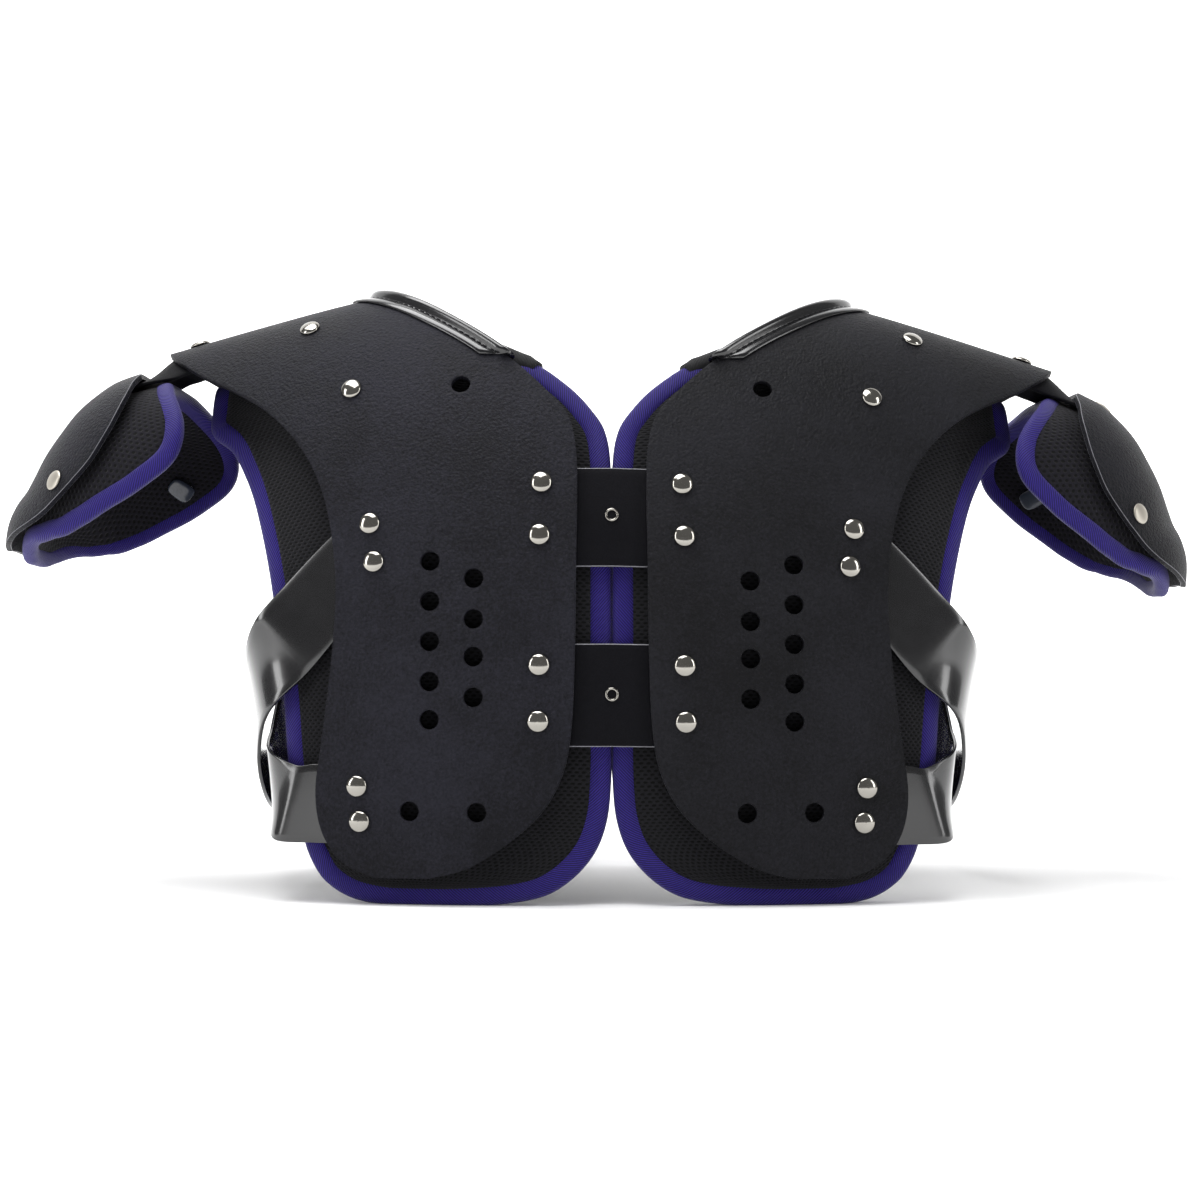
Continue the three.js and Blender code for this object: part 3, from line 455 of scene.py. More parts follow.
@dataclass
class Maker:
    """Makes meshes in the frame's place, and puts them on its one body."""

    shift: Array

    def mesh(self, name: str, points: Array, faces: list, uv: Array | None = None) -> Piece:
        """Makes an object from points and faces.

        Args:
            name: the piece's name.
            points: its points in millimetres, in the form's own place.
            faces: indices of each face's corners.
            uv: cloth coordinates of every face's corners, in millimetres, if a pattern follows the surface.

        Returns:
            The new object, with its faces pointing out.
        """
        data = bpy.data.meshes.new(name)
        data.from_pydata(((points.reshape(-1, 3) + self.shift) * MM).tolist(), [], faces)
        if uv is not None:
            layer = data.uv_layers.new(name="cloth")
            layer.data.foreach_set("uv", (uv.reshape(-1, 2) * MM).astype(np.float32).ravel())
        data.polygons.foreach_set("use_smooth", np.ones(len(data.polygons), bool))
        data.update()
        piece = bpy.data.objects.new(name, data)
        bpy.context.scene.collection.objects.link(piece)
        face_out(piece)
        return piece

    def shell(self, name: str, outer: Array, inner: Array) -> Piece:
        """A closed shell between two grids of points, with walls round it.

        Args:
            name: the piece's name.
            outer: rows by columns by 3, the outer face.
            inner: the same for the inner face.

        Returns:
            The new object.
        """
        rows, columns = outer.shape[:2]
        top, bottom = np.arange(2 * rows * columns).reshape(2, rows, columns)
        rim = np.concatenate([top[0, :-1], top[:-1, -1], top[-1, :0:-1], top[:0:-1, 0]])
        after = np.roll(rim, -1)
        walls = np.stack([after, rim, rim + rows * columns, after + rows * columns], -1)
        quads = np.vstack([quads_of(top), quads_of(bottom)[:, ::-1], walls])
        across = arc_lengths(outer[rows // 2])
        spread = np.stack(np.meshgrid(across - across.mean(), arc_lengths(outer[:, columns // 2])), -1)
        uv = np.stack([spread, spread]).reshape(-1, 2)[quads]
        return self.mesh(name, np.stack([outer, inner]), quads.tolist(), uv)

    def wrap(self, name: str, points: Array, uv: Array, ring: bool = False) -> Piece:
        """A closed body from rows of points that each go round it.

        Args:
            name: the piece's name.
            points: rows by points round by 3.
            uv: cloth coordinates, with a column more than the points, and a row more where the rows close too.
            ring: whether the rows close on themselves, where otherwise the first and last row are capped.

        Returns:
            The new object.
        """
        rows, size = points.shape[:2]
        index = np.arange(rows * size).reshape(rows, size)
        index = np.hstack([index, index[:, :1]])
        if ring:
            index = np.vstack([index, index[:1]])
        faces = quads_of(index).tolist()
        marks = [uv.reshape(-1, 2)[quads_of(np.arange(index.size).reshape(index.shape))].reshape(-1, 2)]
        if not ring:
            faces += [index[0, :-1][::-1].tolist(), index[-1, :-1].tolist()]
            marks += [uv[0, :-1][::-1], uv[-1, :-1]]
        return self.mesh(name, points, faces, np.vstack(marks))

    def sweep(self, name: str, frames: Triple, section: Array, ring: bool) -> Piece:
        """A closed section carried along a path: point = at + a * inward + b * normal for each (a, b).

        Args:
            name: the piece's name.
            frames: the path's points, its inward directions and its normals.
            section: its points, or one set of them for each point of the path.
            ring: whether the path closes on itself.

        Returns:
            The new object.
        """
        at, inward, normal = frames
        section = np.broadcast_to(section, (len(at), *section.shape[-2:]))
        points = at[:, None] + section[..., :1] * inward[:, None] + section[..., 1:] * normal[:, None]
        line = np.vstack([at, at[:1]]) if ring else at
        around = arc_lengths(np.vstack([section[0], section[0][:1]]))
        return self.wrap(name, points, np.stack(np.meshgrid(around, arc_lengths(line)), -1), ring)

    def lathe(self, name: str, seats: Pair, outline: Array, sides: int = 32) -> Piece:
        """An outline of (radius, height) turned round normals: p = at + r cos t * a + r sin t * b + h * n.

        Args:
            name: the piece's name.
            seats: points and normals, a row for each copy.
            outline: the outline, open or closed, from bottom to top.
            sides: how many sides the turned piece has.

        Returns:
            One object that holds every copy.
        """
        at, normal = (np.atleast_2d(part) for part in seats)
        first = unit(np.cross(normal, [0.31, 0.17, 0.93]))
        second = np.cross(normal, first)
        angle = np.linspace(0, 2 * math.pi, sides, endpoint=False)
        at, normal, first, second = (part[:, None, None] for part in (at, normal, first, second))
        turned = np.cos(angle)[:, None] * first + np.sin(angle)[:, None] * second
        radius, height = outline[:, :1, None], outline[:, 1:, None]
        points = at + radius * turned + height * normal
        index = np.arange(len(outline) * sides).reshape(len(outline), sides)
        quads = quads_of(np.hstack([index, index[:, :1]]))
        every = quads[None] + (np.arange(len(at)) * index.size)[:, None, None]
        return self.mesh(name, points, every.reshape(-1, 4).tolist())

    def finish(self, piece: Piece, material: Material, slot: str, *nodes: str) -> None:
        """Dresses a piece, puts it on the body and lets it stand for solid nodes.

        Args:
            piece: the piece.
            material: what it wears, if it has nothing on yet.
            slot: not used.
            nodes: the solids that it stands for.
        """
        if not piece.data.materials:
            piece.data.materials.append(material)
        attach(piece, "root")
        if nodes:
            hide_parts(*nodes)
        LOG.info("%s: %d faces", piece.name, len(piece.data.polygons))


def quads_of(index: Array) -> Array:
    """The four corners of every cell of a grid of indices."""
    return np.stack([index[:-1, :-1], index[:-1, 1:], index[1:, 1:], index[1:, :-1]], -1).reshape(-1, 4)


def face_out(piece: Piece) -> None:
    """Merges a mesh's doubles and turns its faces outward.

    Args:
        piece: the piece.
    """
    body = bmesh.new()
    body.from_mesh(piece.data)
    bmesh.ops.remove_doubles(body, verts=body.verts, dist=1e-6)
    bmesh.ops.recalc_face_normals(body, faces=body.faces)
    body.to_mesh(piece.data)
    body.free()


def soften(piece: Piece, width: float, segments: int = 2, slot: int = -1) -> None:
    """Rounds a piece's sharp edges, and can give the rounding another material slot.

    Args:
        piece: the piece.
        width: the rounding's width in millimetres.
        segments: how many faces round it has.
        slot: the material slot of the rounding, or -1 for the piece's own.
    """
    bevel = piece.modifiers.new("soften", "BEVEL")
    bevel.width = width * MM
    bevel.segments = segments
    bevel.limit_method = "ANGLE"
    bevel.angle_limit = math.radians(40)
    bevel.material = slot


def linear(colour: str) -> tuple[float, float, float, float]:
    """An sRGB hex colour as linear light: c / 12.92 up to 0.04045, else ((c + 0.055) / 1.055)^2.4."""
    shares = [int(colour.lstrip("#")[i : i + 2], 16) / 255 for i in (0, 2, 4)]
    light = [c / 12.92 if c <= 0.04045 else ((c + 0.055) / 1.055) ** 2.4 for c in shares]
    return (light[0], light[1], light[2], 1.0)


class Shade:
    """A new material and short ways to add nodes to it."""

    def __init__(self, name: str) -> None:
        """Makes the material and finds its shader."""
        self.material = bpy.data.materials.new(name)
        self.material.use_nodes = True
        self.tree = self.material.node_tree
        self.shader = self.tree.nodes["Principled BSDF"]

    def fill(self, node: bpy.types.Node, inputs: dict) -> None:
        """Links or sets a node's inputs.

        Args:
            node: the node.
            inputs: for each input, by name or number, a socket to link or a value to set.
        """
        for key, value in inputs.items():
            if isinstance(value, Socket):
                self.tree.links.new(value, node.inputs[key])
            else:
                node.inputs[key].default_value = value

    def add(self, kind: str, output: int | str, inputs: dict | None = None, **settings: object) -> Socket:
        """Adds a node.

        Args:
            kind: its type, without the word that all shader nodes start with.
            output: the output that is wanted.
            inputs: what its inputs are linked or set to.
            settings: its own properties.

        Returns:
            The output's socket.
        """
        node = self.tree.nodes.new("ShaderNode" + kind)
        for name, value in settings.items():
            setattr(node, name, value)
        self.fill(node, inputs or {})
        return node.outputs[output]

    def place(self) -> Socket:
        """Where a point is on its object, in metres."""
        return self.add("TexCoord", "Object")

    def cloth(self) -> Socket:
        """Where a point is on its cloth, in metres along and across it."""
        return self.add("UVMap", "UV", uv_map="cloth")

    def noise(self, place: Socket, scale: float, **inputs: float) -> Socket:
        """Noise from about 0.3 to 0.7, with scale features a metre."""
        return self.add("TexNoise", "Fac", {"Vector": place, "Scale": scale, **inputs})

    def math(self, operation: str, *values: Socket | float) -> Socket:
        """A sum, product or other function of numbers."""
        return self.add("Math", 0, dict(enumerate(values)), operation=operation)

    def vector(self, operation: str, *values: Socket | tuple, output: int | str = 0) -> Socket:
        """The same of vectors, part by part."""
        return self.add("VectorMath", output, dict(enumerate(values)), operation=operation)

    def rescale(self, value: Socket, low: float, high: float, to: tuple[float, float] = (0.0, 1.0)) -> Socket:
        """A value mapped from low..high to another range, and held inside it."""
        inputs = {"Value": value, "From Min": low, "From Max": high, "To Min": to[0], "To Max": to[1]}
        return self.add("MapRange", "Result", inputs)

    def blend(self, share: Socket, low: str, high: str) -> Socket:
        """A colour between two, by a share from 0 to 1.

        Args:
            share: how much of the second colour there is.
            low: the colour at 0, as sRGB hex.
            high: the colour at 1.

        Returns:
            The colour's socket.
        """
        colour = self.add("ValToRGB", "Color", {"Fac": share})
        for stop, shade in zip(colour.node.color_ramp.elements, (low, high)):
            stop.color = linear(shade)
        return colour

    def bump(self, height: Socket, strength: float, depth: float, **below: Socket) -> Socket:
        """A normal tilted by a height's slopes, depth millimetres deep, over the bump below it if there is one."""
        inputs = {"Height": height, "Strength": strength, "Distance": depth * MM, **below}
        return self.add("Bump", "Normal", inputs)


@dataclass(frozen=True)
class MouldedPlastic:
    """Polyethylene or vinyl sheet: dull where it is grained, and bright where it was polished."""

    name: str
    colour: str
    light: str  # of its scuffs
    roughness: float
    grain: Grain = Grain.SMOOTH
    pitch: float = 1.1  # of the grain, in millimetres
    depth: float = 0.45  # of the grain, in millimetres
    coat: float = 0.0
    shine: float = 0.12  # of its skin, 0.5 for a clean smooth plastic

    def build(self) -> Material:
        """Makes the material: cells or noise as bump, faint scuffs in colour and roughness, slow waves."""
        shade = Shade(self.name)
        place = shade.place()
        scuff = shade.noise(place, 14.0, Detail=6.0, Roughness=0.62)
        height = shade.noise(place, 1000 / self.pitch, Detail=3.0, Roughness=0.7)
        scuffed = shade.rescale(shade.math("ADD", scuff, height), 0.85, 1.25)
        if self.grain is Grain.PEBBLE:
            cells = {"Vector": place, "Scale": 1000 / self.pitch}
            cell = shade.add("TexVoronoi", "Distance", cells, feature="SMOOTH_F1")
            height = shade.math("MULTIPLY_ADD", height, 2.0, cell)
        grained = shade.bump(height, self.grain.value, self.depth)
        rough = (self.roughness * 0.9, min(1.0, self.roughness * 1.2))
        inputs = {
            "Base Color": shade.blend(scuffed, self.colour, self.light),
            "Roughness": shade.rescale(scuff, 0.3, 0.7, rough),
            "Specular IOR Level": self.shine,
            "Coat Weight": self.coat,
            "Coat Roughness": 0.12,
            "Normal": shade.bump(shade.noise(place, 11.0, Detail=1.0), 0.35, 6.0, Normal=grained),
        }
        shade.fill(shade.shader, inputs)
        return shade.material


@dataclass(frozen=True)
class SpacerMesh:
    """Knitted polyester spacer mesh: staggered round holes in a soft dull cloth, the holes painted darker as the
    shade inside them.
    """

    name: str
    colour: str
    # the holes' colour: painted shade inside them
    hole: str
    pitch: float  # between holes in a row, in millimetres
    radius: float = 0.3  # of a hole, as a share of the pitch

    def build(self) -> Material:
        """Makes the material: distance to the nearest point of two shifted grids, as bump and as colour, with
        painted shade in the holes.
        """
        shade = Shade(self.name)
        cloth = shade.cloth()
        row = math.sqrt(3)
        distances = []
        for offset in ((0.0, 0.0, 0.0), (0.5, 0.5, 0.0)):
            share = shade.vector("DIVIDE", cloth, (self.pitch * MM, self.pitch * row * MM, 1.0))
            cell = shade.vector("FRACTION", shade.vector("ADD", share, offset))
            middle = shade.vector("SUBTRACT", cell, (0.5, 0.5, 0.0))
            away = shade.vector("MULTIPLY", middle, (1.0, row, 0.0))
            distances.append(shade.vector("LENGTH", away, output="Value"))
        nearest = shade.math("MINIMUM", *distances)
        solid = shade.rescale(nearest, self.radius * 0.75, self.radius * 1.25)
        inputs = {
            # the holes are painted dark as the shade inside them
            "Base Color": shade.blend(solid, self.hole, self.colour),
            "Roughness": 0.85,
            "Specular IOR Level": 0.12,
            "Sheen Weight": 0.05,
            "Sheen Roughness": 0.5,
            "Normal": shade.bump(solid, 0.8, 0.5),
        }
        shade.fill(shade.shader, inputs)
        return shade.material


@dataclass(frozen=True)
class TwillTape:
    """Woven nylon binding tape: slanted ribs, painted lighter on one side as a highlight and darker between them
    as shade.
    """

    name: str
    # the ribs' painted highlight
    high: str
    # the painted shade between them
    low: str
    pitch: float  # of the ribs, in millimetres
    slant: float = 1.1
    sheen: float = 0.1

    def build(self) -> Material:
        """Makes the material: sin(2 pi (v + slant * u) / pitch) as bump and as colour, a painted highlight and
        shade on the ribs.
        """
        shade = Shade(self.name)
        parts = shade.add("SeparateXYZ", "X", {"Vector": shade.cloth()}).node.outputs
        slanted = shade.math("MULTIPLY_ADD", parts["X"], self.slant, parts["Y"])
        wave = shade.math("SINE", shade.math("MULTIPLY", slanted, 2 * math.pi / (self.pitch * MM)))
        rib = shade.rescale(wave, -0.7, 0.8)
        inputs = {
            # painted highlight on the ribs and painted shade between them
            "Base Color": shade.blend(rib, self.low, self.high),
            "Roughness": 0.6,
            "Specular IOR Level": 0.2,
            "Sheen Weight": self.sheen,
            "Sheen Roughness": 0.4,
            "Normal": shade.bump(rib, 0.7, 0.35),
        }
        shade.fill(shade.shader, inputs)
        return shade.material


@dataclass(frozen=True)
class PlatedMetal:
    """Nickel plated steel, pressed and tumbled: bright, with a slightly uneven polish."""

    name: str
    colour: str
    light: str
    roughness: float

    def build(self) -> Material:
        """Makes the material: metal whose colour and roughness vary a little with noise."""
        shade = Shade(self.name)
        noise = shade.noise(shade.place(), 120.0, Detail=2.0)
        polish = shade.rescale(noise, 0.3, 0.7, (self.roughness * 0.9, self.roughness * 1.15))
        colour = shade.blend(noise, self.colour, self.light)
        shade.fill(shade.shader, {"Base Color": colour, "Metallic": 1.0, "Roughness": polish})
        return shade.material


@dataclass(frozen=True)
class Finishes:
    """Every finish of the pads, built once."""

    plates: tuple[Material, Material]  # charcoal, dull, with pebbles that catch the light; the left one is bluer
    plate_edge: Material  # a painted highlight on the rounded edges of plates, epaulets and centre straps
    body_mesh: Material  # black cloth with fine holes
    epaulet_mesh: Material  # the same with coarser holes
    binding: Material  # purple ribs, the one strong colour
    roll: Material  # soft and dark
    trim: Material  # black, with sharp highlights along the neck
    strap_gloss: Material  # black, but mirrors the lights where it bends
    centre_strap: Material  # the darkest plastic, dull
    thread: Material  # grey stitches in the trim's groove
    nickel: Material  # bright domes
    satin_nickel: Material  # warmer and duller domes on the epaulets
    tab: Material  # a black tab painted blue-grey, a painted glint inside the epaulet

    @classmethod
    def build(cls) -> "Finishes":
        """Makes all the materials."""
        return cls(
            plates=tuple(
                MouldedPlastic("pebbled_polyethylene_" + name, *colours, 0.5, Grain.PEBBLE, 1.5).build()
                for name, colours in (("left", ("#0e0e13", "#212129")), ("right", ("#0c0c0f", "#1b1b20")))
            ),
            plate_edge=MouldedPlastic("painted_highlight_edge", "#66666c", "#7c7c83", 0.3, shine=0.5).build(),
            body_mesh=SpacerMesh("spacer_mesh", "#18181b", "#060607", 2.1).build(),
            epaulet_mesh=SpacerMesh("coarse_spacer_mesh", "#15141a", "#060607", 3.4, 0.28).build(),
            binding=TwillTape("purple_twill_tape", "#2b1d7c", "#110938", 1.7).build(),
            roll=TwillTape("charcoal_cloth", "#19191c", "#09090b", 0.9, 0.4).build(),
            trim=MouldedPlastic("gloss_vinyl", "#0c0c0e", "#131316", 0.2, coat=0.5, shine=0.5).build(),
            strap_gloss=MouldedPlastic(
                "gloss_strap_vinyl", "#0d0d0f", "#151517", 0.22, pitch=6.0, depth=0.4, coat=0.7, shine=0.5
            ).build(),
            centre_strap=MouldedPlastic(
                "matt_strap_vinyl", "#08080c", "#0d0d11", 0.6, Grain.FINE, pitch=0.8, shine=0.08
            ).build(),
            thread=TwillTape("black_thread", "#2a2a2e", "#101012", 0.5).build(),
            nickel=PlatedMetal("nickel_plate", "#94918b", "#a5a29b", 0.12).build(),
            satin_nickel=PlatedMetal("satin_nickel_plate", "#aea89e", "#bdb8ae", 0.45).build(),
            tab=MouldedPlastic("painted_glint_plastic", "#252a33", "#2e3440", 0.25, coat=0.5, shine=0.5).build(),
        )


def bead_section(
    width: float, thickness: float, start: float = 0.0, power: float = 2.6, count: int = 20
) -> Array:
    """A rounded section by |x / a|^n + |y / b|^n = 1, from its outer rim inward.

    Args:
        width: across the surface.
        thickness: through it.
        start: where its rim lies.
        power: n, 2 for an ellipse and more for a squarer one.
        count: how many points it has.

    Returns:
        Its points, (inward, outward).
    """
    angle = np.linspace(0, 2 * math.pi, count, endpoint=False)
    cos, sin = np.cos(angle), np.sin(angle)
    x = np.sign(cos) * np.abs(cos) ** (2 / power)
    y = np.sign(sin) * np.abs(sin) ** (2 / power)
    return np.stack([start + width / 2 - x * width / 2, y * thickness / 2], -1)


def loop_frames(surface: Surface, loop: Array, depth: float) -> Triple:
    """Frames along a closed line of spots. Inward is normal x run, on the side that the loop's signed area gives.

    Args:
        surface: the surface that the line lies on.
        loop: the line's spots.
        depth: its depth below the surface.

    Returns:
        Points, directions inward over the surface, and outward normals.
    """
    points = surface.at(loop[:, 0], loop[:, 1], depth)
    after = np.roll(loop, -1, axis=0)
    area = np.sum(loop[:, 0] * after[:, 1] - after[:, 0] * loop[:, 1])
    by_u, by_v, normal = surface.slopes(loop[:, 0], loop[:, 1], depth)
    run = unit(np.roll(points, -1, axis=0) - np.roll(points, 1, axis=0))
    facing = np.sign(area * np.sum(np.cross(by_u, by_v) * normal, -1))[:, None]
    return points, unit(np.cross(normal, run)) * facing, normal


def round_loop(surface: Surface, loop: Array, depth: float, count: int = 220, reach: float = 4.0) -> Array:
    """Spaces a closed line of spots evenly and rounds its corners, w(d) = exp(-d^2 / 2 reach^2).

    Args:
        surface: the surface that the line lies on.
        loop: the line's spots.
        depth: its depth below the surface.
        count: how many spots it gets.
        reach: how far the rounding reaches, in millimetres.

    Returns:
        The new spots.
    """
    closed = np.vstack([loop, loop[:1]])
    along = arc_lengths(surface.at(closed[:, 0], closed[:, 1], depth))
    at = np.linspace(0, along[-1], count, endpoint=False)
    even = np.stack([np.interp(at, along, closed[:, k]) for k in range(2)], -1)
    away = np.minimum(at, along[-1] - at)
    weight = np.exp(-(away**2) / (2 * reach**2))
    spread = np.fft.rfft(weight / weight.sum())[:, None]
    return np.fft.irfft(np.fft.rfft(even, axis=0) * spread, count, axis=0)


@dataclass
class ShoulderHalf:
    """One shoulder: arch plate, body pad with its bound edge, neck trim and roll, and the side straps."""

    half: Half
    maker: Maker
    finishes: Finishes
    binding_width: float = 12.5
    binding_thickness: float = 10.5
    roll_width: float = 13.0
    roll_thickness: float = 14.0
    roll_start: float = -3.0  # of its rim, inward from the pad's edge
    vent_radius: float = 5.0
    vent_reach: float = 12.0  # of the cutter, past the plate's faces
    side_strap_width: float = 40.0
    side_strap_lean: float = 0.1  # how far its top stands out, for each millimetre of its height
    neck_turn: float = 0.69  # where the binding gives way to the roll
    trim_start: float = 0.67
    fill: float = 0.8  # how firm the pads are

    def __post_init__(self) -> None:
        """Makes the forms that this half's pieces lie on."""
        self.arch = ArchForm(self.half)
        self.sunk = SunkForm(self.arch)
        self.plate = self.finishes.plates[0 if self.half.hand < 0 else 1]

    def build(self) -> None:
        """Builds every piece of the half."""
        self.arch_plate()
        self.body_pad()
        self.body_edges()
        self.neck_trim()
        for name, stations in SIDE_STRAPS.items():
            self.side_strap(name, stations)

    def seats(self, spots: Sequence[Spot], depth: float = 0.0) -> Pair:
        """Points, at a depth, and normals at spots on the arch."""
        u, v = np.array([spot.u for spot in spots]), np.array([spot.v for spot in spots])
        return self.arch.at(u, v, depth), self.arch.slopes(u, v)[2]

    def arch_plate(self, columns: int = 48) -> None:
        """The moulded plate, with its vents cut through and its edges softened.

        Args:
            columns: how many faces wide it is.
        """
        inner, outer = edges_of(PLATE_SECTIONS)
        share = np.linspace(0, 1, columns + 1)[None, :, None]
        spots = inner[:, None] + (outer - inner)[:, None] * share
        faces = [self.arch.at(spots[..., 0], spots[..., 1], depth) for depth in (0.0, PLATE_WALL)]
        plate = self.maker.shell("plate_shell_" + self.half.name, *faces)
        outline = np.array([[0, -1], [1, -1], [1, 1], [0, 1]]) * [self.vent_radius, self.vent_reach]
        drill = self.maker.lathe("drill_" + self.half.name, self.seats(VENTS), outline, 28)
        cut = plate.modifiers.new("vents", "BOOLEAN")
        cut.object = drill
        cut.operation = "DIFFERENCE"
        cut.solver = "EXACT"
        apply_modifiers(plate)
        bpy.data.objects.remove(drill)
        plate.data.materials.clear()
        for material in (self.plate, self.finishes.plate_edge):
            plate.data.materials.append(material)
        plate.data.polygons.foreach_set("material_index", np.zeros(len(plate.data.polygons), np.int32))
        # the rounded edge takes slot 1, a painted highlight
        soften(plate, 0.9, slot=1)
        self.maker.finish(plate, self.plate, "plate", "arch_plate_" + self.half.name)

    def body_loop(self) -> tuple[Array, int]:
        """The outline of the body pad as one loop, and how many of its spots the inner edge has."""
        inner, outer = edges_of(PAD_SECTIONS)
        share = np.linspace(0, 1, SAMPLES)[1:-1, None]
        back = inner[-1] + (outer[-1] - inner[-1]) * share
        front = outer[0] + (inner[0] - outer[0]) * share
        return np.vstack([inner, back, outer[::-1], front]), len(inner)

    def body_pad(self, columns: int = 40) -> None:
        """The mesh pad, crowned between its edges: t(s, r) = wall (0.7 + 0.3 (1 - (2s - 1)^6) (1 - (2r - 1)^30)).

        Args:
            columns: how many faces wide it is.
        """
        middle = PAD_INSET + PAD_WALL / 2
        loop, rows = self.body_loop()
        _points, inward, _normal = loop_frames(self.sunk, loop, middle)
        u, v = self.sunk.slide(loop[:, 0], loop[:, 1], inward * self.binding_width * 0.75, middle)
        inset = np.stack([u, v], -1)
        ends = (len(loop) - 2 * rows) // 2
        inner, outer = inset[:rows], inset[rows + ends : 2 * rows + ends][::-1]
        share = np.linspace(0, 1, columns + 1)
        spots = inner[:, None] + (outer - inner)[:, None] * share[None, :, None]
        run = np.linspace(0, 1, rows)[:, None]
        crown = (1 - (2 * share[None] - 1) ** 6) * (1 - (2 * run - 1) ** 30)
        thickness = PAD_WALL * (0.7 + 0.3 * crown)
        outer_face = self.sunk.at(spots[..., 0], spots[..., 1], middle - thickness / 2)
        inner_face = self.sunk.at(spots[..., 0], spots[..., 1], middle + thickness / 2)
        pad = self.maker.shell("mesh_pad_" + self.half.name, outer_face, inner_face)
        self.maker.finish(pad, self.finishes.body_mesh, "mesh_pad", "body_pad_" + self.half.name)

    def body_edges(self) -> None:
        """The bound edge from the neck round the panels and back, and the soft roll between its ends.

        The roll is full in its middle, by 1 - |2r - 1|^12, and two sines along it give it shallow folds.
        """
        middle = PAD_INSET + PAD_WALL / 2
        loop, rows = self.body_loop()
        at, inward, normal = loop_frames(self.sunk, loop, middle)
        first = int(np.argmax(loop[:, 1] >= self.neck_turn))
        last = rows - 1 - first
        order = np.concatenate([np.arange(last, len(loop)), np.arange(0, first + 1)])
        section = bead_section(self.binding_width, self.binding_thickness)
        frames = (at[order], inward[order], normal[order])
        bound = self.maker.sweep("twill_binding_" + self.half.name, frames, section, False)
        press_to_floor(bound)
        self.maker.finish(bound, self.finishes.binding, "binding", "body_binding_" + self.half.name)
        roll = np.arange(first - 2, last + 3)
        run = np.linspace(0, 1, len(roll))[:, None, None]
        full = 1 - np.abs(2 * run - 1) ** 12
        fold = 1 + 0.05 * np.sin(run * 61) * full + 0.03 * np.sin(run * 149 + 1.3)
        centre = np.array([self.roll_start + self.roll_width / 2, 0])
        section = bead_section(self.roll_width, self.roll_thickness, self.roll_start, 2.1, 28) - centre
        frames = (at[roll], inward[roll], normal[roll])
        section = section * (0.82 + 0.18 * full) * fold + centre
        soft = self.maker.sweep("neck_cloth_roll_" + self.half.name, frames, section, False)
        self.maker.finish(soft, self.finishes.roll, "neck_roll", "neck_roll_" + self.half.name)

    def neck_trim(self) -> None:
        """The gloss channel over the plate's neck edge: a section carried along the edge, with stitches."""
        inner, outer = edges_of(PLATE_SECTIONS)
        kept = np.nonzero((inner[:, 1] >= self.trim_start) & (inner[:, 1] <= 2 - self.trim_start))[0]
        line = inner[kept]
        at = self.arch.at(line[:, 0], line[:, 1], 0.0)
        toward = inner[kept] + (outer[kept] - inner[kept]) / 24
        inward = unit(self.arch.at(toward[:, 0], toward[:, 1], 0.0) - at)
        normal = self.arch.slopes(line[:, 0], line[:, 1])[2]
        normal = unit(normal - inward * np.sum(normal * inward, -1, keepdims=True))
        section = np.array(TRIM_SECTION)
        frames = (at, inward, normal)
        trim = self.maker.sweep("neck_channel_" + self.half.name, frames, section, False)
        self.maker.finish(trim, self.finishes.trim, "trim", "neck_trim_" + self.half.name)
        self.stitches(frames)

    def stitches(self, frames: Triple, spacing: float = 4.2, length: float = 3.0, thick: float = 0.42) -> None:
        """A row of stitches in the groove: short spindles whose ends dip, r = thick * sin(pi s)^0.4.

        Args:
            frames: points along the plate's edge, directions inward over the plate, and normals.
            spacing: from stitch to stitch.
            length: of a stitch.
            thick: half its thickness.
        """
        at, inward, normal = frames
        groove = at + inward * TRIM_GROOVE[0] + normal * TRIM_GROOVE[1]
        along = arc_lengths(groove)
        centres = np.arange(spacing, along[-1] - spacing / 2, spacing)
        share = np.linspace(0, 1, 7)
        where = centres[:, None] + (share - 0.5) * length
        lines = (groove, normal, inward)
        path, up, side = (np.stack([np.interp(where, along, line[:, k]) for k in range(3)], -1) for line in lines)
        up, side = unit(up), unit(side)
        radius = thick * np.maximum(np.sin(np.pi * share), 0.02) ** 0.4
        angle = np.linspace(0, 2 * math.pi, 8, endpoint=False)
        ring = np.cos(angle)[:, None] * side[..., None, :] + np.sin(angle)[:, None] * up[..., None, :]
        points = path[..., None, :] + radius[None, :, None, None] * ring
        index = np.arange(len(share) * len(angle)).reshape(len(share), len(angle))
        body = quads_of(np.hstack([index, index[:, :1]])).tolist()
        body += [index[0][::-1].tolist(), index[-1].tolist()]
        every = [[i + k * index.size for i in face] for k in range(len(centres)) for face in body]
        thread = self.maker.mesh("trim_stitches_" + self.half.name, points, every)
        self.maker.finish(thread, self.finishes.thread, "trim")

